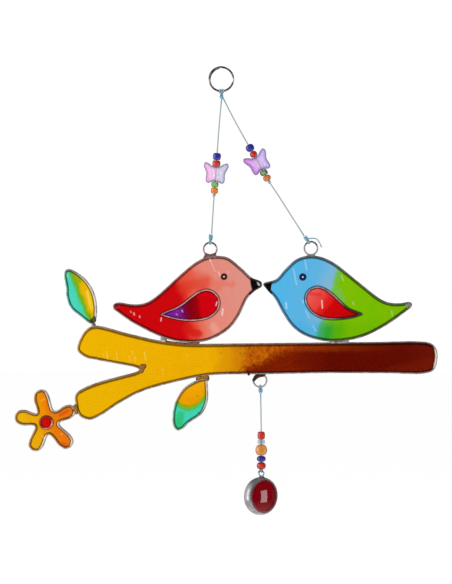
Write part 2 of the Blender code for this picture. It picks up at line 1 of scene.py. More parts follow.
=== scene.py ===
# %% [markdown]
# A suncatcher is drawn with metal strip set on edge. The strip is bent to an outline, soldered,
# and the closed figure is filled with clear coloured resin. This lesson dresses the fixed solids
# of one such piece: two birds on a forked branch, hung on beaded threads from a split ring.
# The solids give every place and size. We load them first.

# %% Load the fixed solids
import math

import bmesh
import bpy
import numpy as np
from mathutils import Matrix, Vector, noise


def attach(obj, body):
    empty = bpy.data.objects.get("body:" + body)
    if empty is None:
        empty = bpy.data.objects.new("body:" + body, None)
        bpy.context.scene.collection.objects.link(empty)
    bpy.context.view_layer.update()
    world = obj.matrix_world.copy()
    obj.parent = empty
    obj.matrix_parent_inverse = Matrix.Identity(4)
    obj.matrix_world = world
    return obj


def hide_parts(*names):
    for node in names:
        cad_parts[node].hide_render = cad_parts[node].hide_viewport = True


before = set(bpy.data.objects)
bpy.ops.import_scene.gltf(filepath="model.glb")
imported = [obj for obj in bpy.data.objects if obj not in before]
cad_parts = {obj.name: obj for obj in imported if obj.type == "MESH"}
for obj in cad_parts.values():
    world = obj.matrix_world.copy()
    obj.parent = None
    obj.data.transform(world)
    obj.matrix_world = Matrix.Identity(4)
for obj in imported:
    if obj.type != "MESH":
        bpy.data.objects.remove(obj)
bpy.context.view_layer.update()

# %% [markdown]
# The picture was taken from straight in front with a long lens, so the strips at the edge hardly
# show their sides. A long lens far away does the same here. The lens and the sensor set the
# angle, and the distance then sets how much of the plane of the figures fills the picture.

# %% Camera
MM = 0.001
LENS = 120.0
SENSOR = 36.0
PICTURE_HEIGHT = 0.33288
PICTURE_CENTRE = (0.00268, -0.12762)

camera = bpy.data.objects.new("camera", bpy.data.cameras.new("camera"))
camera.data.lens = LENS
camera.data.sensor_width = SENSOR
camera.data.clip_end = 30.0
camera.location = (PICTURE_CENTRE[0], -PICTURE_HEIGHT * LENS / SENSOR, PICTURE_CENTRE[1])
camera.rotation_euler = (math.radians(90), 0, 0)
bpy.context.scene.collection.objects.link(camera)
bpy.context.scene.camera = camera
print("camera", round(-camera.location.y, 3), "m away")

# %% [markdown]
# The figures are free curves. A maker marks a few points and lets the metal find the smooth line
# between them. A Catmull-Rom curve does that: it passes through every mark and its bend depends
# on the neighbours. Several runs that meet at a mark leave a corner there, which the tip of a
# tail or a beak needs. All drawing sizes are in millimetres, with X to the right and Z up.

# %% Smooth curves through marks
CURVE_STEP = 0.5
CURVE_MIXES = [[(0, 1), (1, 2), (2, 3)], [(0, 2), (1, 3)], [(1, 2)]]


def on_curve(level, times, when):
    """One point of the curve through four marks, by mixing neighbours three times over."""
    for spans in CURVE_MIXES:
        shares = [(when - times[low]) / (times[high] - times[low]) for low, high in spans]
        level = [level[index].lerp(level[index + 1], share) for index, share in enumerate(shares)]
    return level[0]


def smooth_run(marks, step=CURVE_STEP):
    """Points of a smooth curve from the first mark to the last."""
    marks = [Vector(mark) for mark in marks]
    padded = [marks[0] * 2 - marks[1], *marks, marks[-1] * 2 - marks[-2]]
    points = []
    for start, left, right, end in zip(padded, padded[1:], padded[2:], padded[3:]):
        times = [0.0]
        for first, second in ((start, left), (left, right), (right, end)):
            times.append(times[-1] + math.sqrt((second - first).length))
        steps = max(2, math.ceil((right - left).length / step))
        for index in range(steps):
            when = times[1] + (times[2] - times[1]) * index / steps
            points.append(on_curve([start, left, right, end], times, when))
    points.append(marks[-1])
    return points


def anticlockwise(points):
    """The same outline, running with its inside on the left."""
    pairs = zip(points, points[1:] + points[:1])
    area = sum(here.x * ahead.y - ahead.x * here.y for here, ahead in pairs)
    return points if area > 0 else points[::-1]


def outline(*runs):
    """A closed outline of smooth runs that meet at corners."""
    points = []
    for run in runs:
        points += smooth_run(run)[:-1]
    return anticlockwise(points)


def round_outline(marks):
    """A closed smooth outline with no corner."""
    run = smooth_run(marks[-3:] + marks + marks[:3])
    start = Vector(marks[0])
    first = min(range(len(run)), key=lambda index: (run[index] - start).length)
    last = min(range(first + 2, len(run)), key=lambda index: (run[index] - start).length)
    return anticlockwise(run[first:last])


def circle(centre, radius, sides=32):
    """A closed outline of points on a circle."""
    angles = [2 * math.pi * side / sides for side in range(sides)]
    return [Vector(centre) + radius * Vector((math.cos(angle), math.sin(angle))) for angle in angles]


# %% [markdown]
# A strip has a width, so its inner edge is the outline moved inwards. We also want to know how far each
# point of the resin is from the metal, because the resin creeps up the strip and a dark line of painted
# shade runs along it there. We also want to know which way the nearest metal faces, because painted
# highlights and shade along the metal follow it. All come from the closed outlines.

# %% Distance to an outline, and outlines moved by a distance
BATCH = 2000
KEPT_SHARE = 0.98


def rows(loop):
    """The points of a loop as rows of numbers."""
    return np.array([tuple(point) for point in loop])


def in_batches(measure, places):
    """A measure of many places, worked out some at a time to save memory."""
    firsts = range(0, len(places), BATCH)
    return np.concatenate([measure(places[first:first + BATCH, None, :]) for first in firsts])


def distances(places, loops):
    """Shortest distance from each place to any of the closed loops."""
    starts = np.concatenate([rows(loop) for loop in loops])
    edge = np.concatenate([np.roll(rows(loop), -1, axis=0) for loop in loops]) - starts
    squared = (edge * edge).sum(axis=1)

    def shortest(batch):
        offset = batch - starts[None]
        share = np.clip((offset * edge).sum(axis=2) / squared, 0, 1)
        gap = offset - share[..., None] * edge
        return np.sqrt((gap * gap).sum(axis=2).min(axis=1))
    return in_batches(shortest, places)


def unit_rows(steps):
    """The same directions with a length of one."""
    return steps / np.linalg.norm(steps, axis=1)[:, None]


def facings(places, loops):
    """How much the first outline faces right and up where it is nearest to each place, from -1 to 1.
    Both are zero where another loop is nearer."""
    facing = [unit_rows(np.roll(rows(loop), -1, axis=0) - np.roll(rows(loop), 1, axis=0))[:, ::-1] * (1, -1)
              for loop in loops]
    facing = np.concatenate([facing[0]] + [others * 0 for others in facing[1:]])
    corners = np.concatenate([rows(loop) for loop in loops])
    nearest = in_batches(lambda batch: ((batch - corners[None]) ** 2).sum(axis=2).argmin(axis=1), places)
    return facing[nearest]


def grown(points, distance):
    """The outline moved outwards by a distance, or inwards by a negative one."""
    corners = rows(points)
    back = corners - np.roll(corners, 1, axis=0)
    along = unit_rows(unit_rows(back) + unit_rows(np.roll(back, -1, axis=0)))
    moved = corners + distance * np.column_stack((along[:, 1], -along[:, 0]))
    kept = distances(moved, [points]) > abs(distance) * KEPT_SHARE
    return [Vector(point) for point in moved[kept]]


square = [Vector(corner) for corner in ((0, 0), (10, 0), (10, 10), (0, 10))]
print("a point in the middle of a 10 mm square is", distances(np.array([[5.0, 5.0]]), [square])[0], "mm in")

# %% [markdown]
# Every new mesh ends in the same way: its normals are turned outwards, it is brought from
# millimetres to metres, it becomes an object at the origin, it rides on the one body, and it
# stands for the plain solids that it replaces. One helper does all of that, so that no piece
# can miss a step.

# %% Finish a piece
made_pieces = {}


def finished(name, shape, material, slot, nodes=(), sharp=38.0):
    """Turns a bmesh in millimetres into a piece of the object."""
    bmesh.ops.recalc_face_normals(shape, faces=shape.faces)
    bmesh.ops.scale(shape, vec=(MM, MM, MM), verts=shape.verts)
    mesh = bpy.data.meshes.new(name)
    shape.to_mesh(mesh)
    shape.free()
    mesh.shade_smooth()
    mesh.set_sharp_from_angle(angle=math.radians(sharp))
    mesh.materials.append(material)
    piece = bpy.data.objects.new(name, mesh)
    bpy.context.scene.collection.objects.link(piece)
    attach(piece, "root")
    if nodes:
        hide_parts(*nodes)
    made_pieces[name] = piece
    return piece


# %% [markdown]
# Materials are built from nodes. A small class stands for what comes out of a node, so that a
# sum or a product of two such wires can be written as one and still makes a Math node. Effects
# that several finishes share are node groups, made once here. A group only gives out colours,
# masks and heights, and the shader itself stays in each material.

# %% Helpers for node trees
def linear(red, green, blue):
    """A colour as it is read off a screen, 0 to 255, turned into the linear light that nodes use."""
    values = [part / 255 for part in (red, green, blue)]
    return (*[part / 12.92 if part <= 0.04045 else ((part + 0.055) / 1.055) ** 2.4 for part in values], 1.0)


class Wire:
    """What comes out of a node. It can be reckoned with, which makes Math nodes."""

    def __init__(self, socket):
        self.socket, self.tree = socket, socket.id_data

    def __add__(self, other):
        return maths("ADD", self, other)

    def __sub__(self, other):
        return maths("SUBTRACT", self, other)

    def __mul__(self, other):
        return maths("MULTIPLY", self, other)


def put(socket, value):
    """Feeds a socket from a wire, or sets its plain value. A colour may be given as three numbers."""
    if isinstance(value, Wire):
        socket.id_data.links.new(value.socket, socket)
    elif value is not None:
        is_tone = socket.type == "RGBA" and len(value) == 3
        socket.default_value = linear(*value) if is_tone else value


def node(kind, inputs, output=0, **settings):
    """One output of a new node, which joins the tree of the wires among its inputs."""
    inputs = inputs if isinstance(inputs, dict) else dict(enumerate(inputs))
    tree = next(value.tree for value in inputs.values() if isinstance(value, Wire))
    made = tree.nodes.new(kind)
    for setting, value in settings.items():
        setattr(made, setting, value)
    for label, value in inputs.items():
        put(made.inputs[label], value)
    return Wire(made.outputs[output])


def maths(operation, *values, clamp=False):
    """A Math node on plain numbers or wires."""
    return node("ShaderNodeMath", values, operation=operation, use_clamp=clamp)


def vectors(operation, first, second=None):
    """A Vector Math node. A dot product, a length or a distance comes out as a number."""
    label = "Scale" if operation == "SCALE" else 1
    output = "Value" if operation in ("DOT_PRODUCT", "LENGTH", "DISTANCE") else "Vector"
    return node("ShaderNodeVectorMath", {0: first, label: second}, output, operation=operation)


def fade(value, start, end, low=0.0, high=1.0):
    """A smooth change from one number to another while a value runs from start to end."""
    return node("ShaderNodeMapRange", (value, start, end, low, high), interpolation_type="SMOOTHSTEP")


def blended(share, first, second, blend="MIX"):
    """Two colours mixed by a share."""
    return node("ShaderNodeMix", {0: share, 6: first, 7: second}, 2, data_type="RGBA", blend_type=blend)


def speckle(position, scale, detail=2.0, roughness=0.5):
    """Noise from 0 to 1. The scale is in waves a millimetre."""
    return node("ShaderNodeTexNoise", {"Vector": position, "Scale": scale, "Detail": detail,
                                       "Roughness": roughness}, "Fac")


def ramp(value, *stops):
    """Colours along a value. Each stop is a place in millimetres and a colour."""
    start, end = stops[0][0], stops[-1][0]
    colour = node("ShaderNodeValToRGB", (maths("DIVIDE", value - start, end - start, clamp=True),), "Color")
    band = colour.socket.node.color_ramp
    band.interpolation = "EASE"
    for index, (place, *tone) in enumerate(stops):
        share = (place - start) / (end - start)
        element = band.elements[index] if index < 2 else band.elements.new(share)
        element.position, element.color = share, linear(*tone)
    return colour


def attribute(beside, name):
    """A number stored at each point of a mesh, in the tree of another wire."""
    made = beside.tree.nodes.new("ShaderNodeAttribute")
    made.attribute_name = name
    return Wire(made.outputs["Fac"])


def bumped(height, depth):
    """Small relief on a surface. The depth is in millimetres."""
    return node("ShaderNodeBump", {"Height": height, "Distance": depth * MM}, "Normal")


def new_material(name, **plain):
    """An empty Principled material with some plain values, its shader's inputs, and its coordinates
    in millimetres. An underscore in a value's name stands for a space."""
    material = bpy.data.materials.new(name)
    material.use_nodes = True
    shader = material.node_tree.nodes["Principled BSDF"].inputs
    for label, value in plain.items():
        put(shader[label.replace("_", " ")], value)
    place = Wire(material.node_tree.nodes.new("ShaderNodeTexCoord").outputs["Object"])
    return material, shader, vectors("SCALE", place, 1 / MM)


def new_group(name, outputs, **inputs):
    """An empty node group, the wires of its inputs, and the sockets of its outputs."""
    tree = bpy.data.node_groups.new(name, "ShaderNodeTree")
    for side, sockets in (("INPUT", inputs), ("OUTPUT", outputs)):
        for label, kind in sockets.items():
            tree.interface.new_socket(label, in_out=side, socket_type="NodeSocket" + kind)
    given = [Wire(socket) for socket in tree.nodes.new("NodeGroupInput").outputs[:len(inputs)]]
    return tree, given, tree.nodes.new("NodeGroupOutput").inputs


# %% Shared effects: a wavering distance, the shadow of the strip, and a small mark
# How far a point lies along a heading from a start, in millimetres, with an edge that wavers
waver, (place, start, heading, sway, fineness, bend), result = new_group(
    "Wavering distance", {"Distance": "Float"}, Position="Vector", Start="Vector", Heading="Vector",
    Waver="Float", Fineness="Float", Bend="Float")
offset = vectors("SUBTRACT", place, start)
ahead = vectors("DOT_PRODUCT", offset, heading)
aside = vectors("LENGTH", vectors("CROSS_PRODUCT", offset, heading))
cloud = speckle(place, fineness, 4.0, 0.55)
put(result["Distance"], ahead + aside * aside * bend + (cloud - 0.5) * sway)

# Painted shade: a dark line in the resin along the metal
strip_shade, (colour, rim, width), result = new_group(
    "Strip shadow", {"Color": "Color"}, Color="Color", Rim="Float", Width="Float")
deep = blended(1.0, colour, (0.10, 0.085, 0.08, 1.0), "MULTIPLY")
put(result["Color"], blended(fade(rim, width * 1.5, width * 0.42) * 0.9, colour, deep))

# A small mark such as a wrinkle or a drop, drawn round the line between two points
wrinkle, (place, start, end, width), result = new_group(
    "Wrinkle", {"Mask": "Float"}, Position="Vector", From="Vector", To="Vector", Width="Float")
line = vectors("SUBTRACT", end, start)
offset = vectors("SUBTRACT", vectors("MULTIPLY", place, (1.0, 0.0, 1.0)), start)
reach = vectors("DOT_PRODUCT", line, line)
share = maths("DIVIDE", vectors("DOT_PRODUCT", offset, line), reach, clamp=True)
apart = vectors("DISTANCE", offset, vectors("SCALE", line, share))
put(result["Mask"], fade(apart, width, width * 0.3))
print("groups:", [group.name for group in bpy.data.node_groups])


# %% The shared effects in use
def flow(position, start, heading, sway, fineness=0.12, bend=0.0):
    """The wavering distance from a point of the drawing plane along a heading in degrees."""
    ahead = (math.cos(math.radians(heading)), 0, math.sin(math.radians(heading)))
    return node("ShaderNodeGroup", {
        "Position": position, "Start": (start[0], 0, start[1]), "Heading": ahead, "Waver": sway,
        "Fineness": fineness, "Bend": bend}, "Distance", node_tree=waver)


def marked(position, from_x, from_z, to_x, to_z, width):
    """A soft mark round the line between two points, from 0 to 1."""
    return node("ShaderNodeGroup", {
        "Position": position, "From": (from_x, 0, from_z), "To": (to_x, 0, to_z), "Width": width}, "Mask",
        node_tree=wrinkle)


def brushed(position, from_x, from_z, to_x, to_z, width, ragged):
    """A soft ragged patch round the line between two points."""
    cloud = speckle(position, 0.22, 5.0, 0.62)
    shift = vectors("SCALE", (1.0, 0.0, 1.0), (cloud - 0.5) * ragged)
    return marked(vectors("ADD", position, shift), from_x, from_z, to_x, to_z, width)


def blotched(position, colour, *patches):
    """A colour with ragged patches over it. Each has its line, its width, how ragged it is, its
    strength and its tone."""
    for *line, width, ragged, strength, tone in patches:
        colour = blended(brushed(position, *line, width, ragged) * strength, colour, tone)
    return colour


# %% [markdown]
# The threads come first, because their places are settled in the plan of the solids. Each hangs
# taut between two knots, with the weight of the birds on it. It is a twisted cotton cord of
# three strands, so its section has three lobes, and it turns as it goes along. A section is
# carried along a path by extruding its edge step by step. Each step's turn comes from the last
# one, so the section never twists by itself.

# %% Carry a section along a path
Z_AXIS = Vector((0, 0, 1))
LOBE_DEPTH = 0.09


def frames_along(points, pitch, closed):
    """A place and a turn for each point of a path. The pitch is the length of one twist."""
    count = len(points)
    frames, travelled = [], 0.0
    turn = Z_AXIS.rotation_difference(points[1] - points[0])
    for index, point in enumerate(points):
        back = points[index - 1] if index or closed else point
        ahead = points[(index + 1) % count] if index < count - 1 or closed else point
        turn = (turn @ Z_AXIS).rotation_difference(ahead - back) @ turn
        twist = Matrix.Rotation(2 * math.pi * travelled / pitch if pitch else 0.0, 4, "Z")
        frames.append(Matrix.Translation(point) @ turn.to_matrix().to_4x4() @ twist)
        travelled += (points[(index + 1) % count] - point).length
    return frames


def swept(shape, points, radius, sides=8, pitch=0.0, closed=False):
    """A tube along a path. With a pitch, it has three twisted strands."""
    ring = bmesh.ops.create_circle(shape, radius=radius, segments=sides)["verts"]
    if pitch:
        for vert in ring:
            vert.co *= 1 + LOBE_DEPTH * math.cos(3 * math.atan2(vert.co.y, vert.co.x))
    frames = frames_along(points, pitch, closed)
    bmesh.ops.transform(shape, matrix=frames[0], verts=ring)
    first = last = list({edge for vert in ring for edge in vert.link_edges})
    for here, ahead in zip(frames, frames[1:]):
        made = bmesh.ops.extrude_edge_only(shape, edges=last)["geom"]
        ring = [item for item in made if isinstance(item, bmesh.types.BMVert)]
        bmesh.ops.transform(shape, matrix=ahead @ here.inverted(), verts=ring)
        last = [item for item in made if isinstance(item, bmesh.types.BMEdge)
                and item.verts[0] in ring and item.verts[1] in ring]
    if closed:
        bmesh.ops.bridge_loops(shape, edges=first + last)
    else:
        bmesh.ops.contextual_create(shape, geom=first)
        bmesh.ops.contextual_create(shape, geom=last)
    return shape


def even_route(marks, spacing):
    """Evenly spaced points along a smooth curve through the marks, and the curve's length."""
    dense = smooth_run(marks)
    lengths = [0.0]
    for here, ahead in zip(dense, dense[1:]):
        lengths.append(lengths[-1] + (ahead - here).length)
    evenly = np.linspace(0, lengths[-1], max(2, round(lengths[-1] / spacing)) + 1)
    across, height = (np.interp(evenly, lengths, [point[axis] for point in dense]) for axis in (0, 1))
    return [Vector((x, 0, z)) for x, z in zip(across, height)], lengths[-1]


# %% Thread
def yarn(name, plain, dyed, knots, reach):
    """Cotton thread. It is more strongly dyed near the knots."""
    material, shader, position = new_material(name, Roughness=0.85, Sheen_Weight=0.3)
    colour = blended(speckle(position, 1.6, 3.0), plain, (168, 180, 184))
    share = 0.0
    for x, z in knots:
        near = fade(vectors("DISTANCE", position, (x, 0, z)), reach, 1.5)
        share = maths("MAXIMUM", near, share)
    patches = fade(speckle(position, 0.8), 0.3, 0.6, 0.5, 1.0)
    put(shader["Base Color"], blended(share * patches, colour, dyed))
    put(shader["Normal"], bumped(speckle(position, 6.0, 3.0), 0.08))
    return material


KNOT_PLACES = ((0.1, -15.6), (-5.9, -96.6), (48.35, -97.2), (22.4, -183.7), (22.85, -228.8))
TEAL = (84, 146, 168)
THREAD_FINISH = yarn("cotton thread", (142, 157, 160), TEAL, KNOT_PLACES, 8.0)
KNOT_FINISH = yarn("knotted thread", (118, 156, 168), TEAL, KNOT_PLACES, 5.0)

# %% The three threads and the loose end
THREAD = 0.8
TWIST_PITCH = 2.4
SWEEP_STEP = 0.4
PATH_STEP = 2.8
HANGER_ROW = ("blue_bead", "red_bead", "butterfly", "green_bead", "orange_bead", "stop_knot")
PENDANT_ROW = ["upper_red_bead", "clear_bead", "amber_bead", "lower_blue_bead", "lower_red_bead"]
FRAYED = (-0.35, 0.0, 0.3)
ROUTES = {
    "left_thread": [(0.2, -17.3), (-1.2, -32.4), (-2.4, -49.0), (-4.1, -72.6), (-5.5, -94.3)],
    "right_thread": [(1.0, -17.0), (8.4, -31.4), (15.6, -44.2), (26.9, -64.1), (33.6, -74.3),
                     (41.4, -86.6), (47.2, -95.6)],
    "pendant_thread": [(22.4, -185.1), (22.6, -196.0), (22.75, -207.5), (22.8, -228.2)]}
ON_THREAD = {"left_thread": ["left_" + name for name in HANGER_ROW] + ["ring_knot", "red_bird_knot"],
             "right_thread": ["right_" + name for name in HANGER_ROW] + ["blue_bird_knot", "knot_tail"],
             "pendant_thread": PENDANT_ROW + ["branch_knot", "pendant_knot"]}
TAIL_ROUTE = [(50.3, -97.2), (52.4, -97.0), (54.3, -97.4), (55.6, -98.8), (57.0, -101.5)]

threads = {}
for name, marks in ROUTES.items():
    points, length = even_route(marks, SWEEP_STEP)
    shape = swept(bmesh.new(), points, THREAD / 2, 12, TWIST_PITCH)
    piece = finished(name + "_cord", shape, THREAD_FINISH, "thread", [name], sharp=80)
    threads[name] = (piece, marks, length)
    print(name, "is", round(length, 1), "mm long")

points, length = even_route(TAIL_ROUTE, SWEEP_STEP / 2)
frayed = swept(bmesh.new(), points, THREAD / 2 * 0.9, 12, TWIST_PITCH * 0.8)
for spread in FRAYED:
    end = points[-1]
    strand = [end - Vector((0.2, 0, -0.4)), end + Vector((spread, 0.1, -0.3)),
              end + Vector((spread * 2.4, -0.1, -0.9 + abs(spread)))]
    swept(frayed, strand, 0.14, 6)
finished("knot_tail_cord", frayed, KNOT_FINISH, "thread", ["knot_tail"], sharp=80)

# %% [markdown]
# The resin is clear, so its colour is the colour of the light that comes through it. On the shader that is
# full transmission with the colour as the base colour. It is poured in patches that run into each other, so
# each figure has a few colours along a wavering line. The surface is set with soft waves, and some wrinkles
# and drops have painted highlights. A dark line of painted shade runs along the metal, with a pale painted
# highlight beside it where the outline faces right.

# %% Clear resin
def clear_resin(name, pour, marks, line, top_line, glint, right_highlight):
    """Clear resin. Pour draws its colours, marks are painted highlights on wrinkles and drops in the colour
    glint, line and top_line are the widths of the dark line of painted shade along the metal, at the top
    for the second, and the last argument gives the pale painted highlight beside the metal where the
    outline faces right."""
    material, shader, position = new_material(name, Roughness=0.04, IOR=1.45, Transmission_Weight=1.0)
    # Where the outline faces right, the dark line moves off the metal and a pale painted highlight fills
    # the gap
    width, first, full = right_highlight
    rim = attribute(position, "rim") - fade(attribute(position, "east"), first, full, 0.0, width)
    # Painted shade: a dark line in the resin along the metal, wider along the top
    colour = node("ShaderNodeGroup", {
        "Color": pour(position), "Rim": maths("MAXIMUM", rim, 0.0),
        "Width": fade(attribute(position, "up"), 0.6, 0.95, line, top_line)}, "Color", node_tree=strip_shade)
    colour = blended(fade(rim, 0.0, -0.3, 0.0, 0.75), colour, (236, 218, 186))
    height = speckle(position, 0.16, 2.0)
    # Painted highlights on wrinkles and drops, which also get a little bump
    for *ends, width, strength in marks:
        spot = marked(position, *ends, width * 1.25)
        colour = blended(spot * (strength * 0.62), colour, glint)
        height = height + spot * 0.12
    put(shader["Base Color"], colour)
    put(shader["Normal"], bumped(height, 0.5))
    return material


# %% [markdown]
# The strip is tinned metal: dull grey, a little brown where it was heated, and smoother in some patches
# than in others. The solder is the same metal in soft lumps. A shared group gives the stains, and each
# metal has its own tones. A dress is a function that changes the tones of one metal further, for example
# where dark resin covers it.

# %% Metals
stains, (place, clean, stained, scale, smooth, rough), result = new_group(
    "Stains", {"Color": "Color", "Roughness": "Float", "Height": "Float"}, Position="Vector", Clean="Color",
    Stained="Color", Scale="Float", Smooth="Float", Rough="Float")
patches = fade(speckle(place, scale, 5.0, 0.6), 0.4, 0.62)
grain = speckle(place, scale * 9.0, 3.0)
put(result["Color"], blended(patches, clean, stained))
put(result["Roughness"], smooth + fade(patches + grain * 0.5, 0.1, 1.3) * (rough - smooth))
put(result["Height"], grain + patches * 0.4)


def metal(name, clean, stained, scale=0.35, smooth=0.42, rough=0.6, depth=0.05, dull=0.5, dress=None):
    """A stained metal. Dull is its share of dull oxide, and dress may change the colour further."""
    material, shader, position = new_material(name, Metallic=1.0 - dull)
    colour = node("ShaderNodeGroup", {
        "Position": position, "Clean": clean, "Stained": stained, "Scale": scale, "Smooth": smooth,
        "Rough": rough}, "Color", node_tree=stains)
    roughness, height = (Wire(colour.socket.node.outputs[label]) for label in ("Roughness", "Height"))
    put(shader["Base Color"], dress(position, colour) if dress else colour)
    put(shader["Roughness"], roughness)
    put(shader["Normal"], bumped(height, depth))
    return material


def pour_tinted(name, share):
    """A dress that tints a metal with a figure's own pour, as its resin colours the metal beside it."""
    def dressed(position, colour):
        return blended(share, colour, blended(1.0, colour, POURS[name](position), "MULTIPLY"))
    return dressed


def dark_edged(position, colour):
    """A dress that darkens a lump towards its edge, in dark brown."""
    return blended(fade(attribute(position, "rim"), 0.75, 0.15, 0.0, 0.85), colour, (92, 52, 4))


def ring_glints_and_shade(position, colour):
    """A dress for the split ring: painted highlights at the two sides, and painted shade, nearly black, at
    the top and upper left.
    """
    for x, z, tone in ((-6.9, -7.3, 200), (6.8, -6.9, 252), (1.2, 0.4, 20), (-4.9, -1.6, 40)):
        apart = vectors("DISTANCE", position, (x, 0, z))
        colour = blended(fade(apart, 2.4, 0.6, 0.0, 0.9), colour, (tone, tone - 4, tone - 4))
    return colour


SOLDER = metal("solder", (196, 190, 190), (128, 114, 106), 0.5, 0.3, 0.5, 0.12, 0.35)
OLIVE_SOLDER = metal("solder with resin in it", (176, 128, 34), (112, 68, 2), 1.3, 0.25, 0.45, 0.14, 0.7,
                     dark_edged)
CHROME = metal("dark plated steel", (112, 110, 114), (70, 66, 68), 0.22, 0.14, 0.3, 0.02, 0.4, ring_glints_and_shade)
BRIGHT = metal("brushed band", (156, 154, 156), (132, 130, 132), 0.3, 0.24, 0.36, 0.02, 0.25)
print("metals:", len([material for material in bpy.data.materials if material.node_tree]))

# %% [markdown]
# Flat pieces begin as a filled outline. Triangles between loops are dissolved into a few large
# faces, and straight cuts both ways then score the sheet into small squares, because a sheet
# must have points inside before it can bulge or wave. The long direction is cut first, while
# there are few faces, which keeps the cuts quick.

# %% Flat sheets, scored and thickened
def flat_sheet(loops, cell=None):
    """A flat sheet cut to closed loops. The first is its edge and the others are holes."""
    shape = bmesh.new()
    for loop in loops:
        corners = [shape.verts.new((point.x, 0, point.y)) for point in loop]
        for pair in zip(corners, corners[1:] + corners[:1]):
            shape.edges.new(pair)
    bmesh.ops.triangle_fill(
        shape, use_beauty=True, use_dissolve=False, edges=shape.edges, normal=(0, -1, 0))
    bmesh.ops.dissolve_limit(
        shape, angle_limit=0.01, use_dissolve_boundaries=False, verts=shape.verts, edges=shape.edges)
    if cell:
        score(shape, cell)
    return shape


def score(shape, cell):
    """Cuts a flat sheet into squares."""
    places = np.array([tuple(vert.co) for vert in shape.verts])
    low, span = places.min(axis=0), np.ptp(places, axis=0)
    for axis in sorted((0, 2), key=lambda side: -span[side]):
        count = max(2, round(span[axis] / cell))
        normal = Vector([1.0 if side == axis else 0.0 for side in range(3)])
        for cut in range(1, count):
            place = normal * (low[axis] + span[axis] * cut / count)
            geometry = shape.verts[:] + shape.edges[:] + shape.faces[:]
            bmesh.ops.bisect_plane(shape, geom=geometry, dist=1e-4, plane_co=place, plane_no=normal)


def layered(shape, *names):
    """New numbers that are stored at each point of a shape."""
    return [shape.verts.layers.float.new(name) for name in names]


def thickened(shape):
    """Gives a sheet a back. Returns the points of the front and their side, then those of the back."""
    front = shape.verts[:]
    raised = bmesh.ops.extrude_face_region(shape, geom=shape.faces[:])
    back = [item for item in raised["geom"] if isinstance(item, bmesh.types.BMVert)]
    return (front, -1), (back, 1)


def flat_places(verts):
    """Where points lie in the drawing plane, as rows of numbers."""
    return np.array([(vert.co.x, vert.co.z) for vert in verts])


def ripple(places, size, seed):
    """Soft waves between -1 and 1, with a size in millimetres."""
    return np.array([noise.noise(Vector((x / size, z / size, seed))) for x, z in places])


def cushion(rim, reach):
    """A rounded rise from 0 at the rim to 1 at some distance from it."""
    return np.sqrt(1 - (1 - np.clip(rim / reach, 0, 1)) ** 2)


def shaped(shape, loops, depth_at, with_facing=False):
    """Gives a sheet a back, and moves the points of each side to their depths. Every point stores how
    far it is from the loops and, if asked, how much they face right and up there."""
    layers = layered(shape, *(("rim", "east", "up") if with_facing else ("rim",)))
    for verts, side in thickened(shape):
        places = flat_places(verts)
        rim = distances(places, loops)
        stored = (rim, *facings(places, loops).T) if with_facing else (rim,)
        for vert, depth, *numbers in zip(verts, depth_at(places, rim, side), *stored):
            vert.co.y = depth
            for layer, number in zip(layers, numbers):
                vert[layer] = number
    return shape


# %% [markdown]
# The strip stands on edge, 3 mm deep and a little over 1 mm wide, and its ridges are rounded.
# Extruding a ring-shaped sheet gives the strip, and three small insets on each side, each a
# little higher than the last, round its ridges.

# %% Bent strip and wire
ROUNDING = [(0.08, 0.17), (0.12, 0.12), (0.16, 0.06)]
STRIP_WIDTH, STRIP_DEPTH = 1.15, 3.0
WIRE_WIDTH, WIRE_DEPTH = 0.75, 2.6
HAND_SWAY, SWAY_FINENESS, FLAT_SHARE = 0.07, 0.14, 0.6


def bent_strip(outer, inner, depth):
    """A closed band between two outlines, with rounded ridges. It stores how far in each point is
    and how much the outline faces right and up there."""
    shape = flat_sheet([outer, inner])
    inwards, east, up = layered(shape, "inwards", "east", "up")
    flank = depth / 2 - sum(rise for width, rise in ROUNDING)
    for verts, side in thickened(shape):
        for vert in verts:
            vert.co.y = side * flank
    bmesh.ops.recalc_face_normals(shape, faces=shape.faces)
    for side in (-1, 1):
        ridge = [face for face in shape.faces if face.calc_center_median().y * side > flank - 1e-4]
        for width, rise in ROUNDING:
            bmesh.ops.inset_region(shape, faces=ridge, thickness=width, depth=rise)
    places = flat_places(shape.verts)
    for vert, distance, facing in zip(shape.verts, distances(places, [outer]), facings(places, [outer])):
        vert[inwards] = distance
        vert[east], vert[up] = facing
        sway = noise.noise_vector(vert.co * SWAY_FINENESS) * HAND_SWAY
        vert.co += Vector((sway.x * FLAT_SHARE, sway.y, sway.z * FLAT_SHARE))
    return shape


# %% [markdown]
# Resin fills a figure from the back. It stands a little lower than the strip at the front, and
# creeps up the metal in a curve. We score the sheet finely, measure each point's distance to
# the metal, store it for the shader, and lift the points that are close to it.

# %% Poured resin
# For the front, -1, and the back, 1
LEVELS = {-1: -0.9, 1: 1.4}
CREEP_HEIGHTS = {-1: 0.04, 1: 0.008}
WAVINESS = {-1: 1.0, 1: 0.5}
CREEP_REACH, CALM_REACH = 0.3, 1.5
WIDE_WAVES, SMALL_WAVES = (0.09, 9.0), (0.03, 3.1)
OVERLAP = 0.05


def poured(loops, metal_loops, cell, seed):
    """Resin inside the first loop and outside the others, climbing the metal loops."""
    def depth_at(places, rim, side):
        climb = CREEP_HEIGHTS[side] * np.exp(-rim / CREEP_REACH)
        (high, wide), (low, small) = WIDE_WAVES, SMALL_WAVES
        waves = high * ripple(places, wide, seed + side) + low * ripple(places, small, seed - side)
        return LEVELS[side] + side * climb + waves * np.clip(rim / CALM_REACH, 0, 1) * WAVINESS[side]
    return shaped(flat_sheet(loops, cell), metal_loops, depth_at, with_facing=True)


# %% [markdown]
# Now the drawing itself. Each figure is a list of marks along its edge, in the order in which
# the strip was bent. A bird is two runs, because its beak and its tail are sharp.

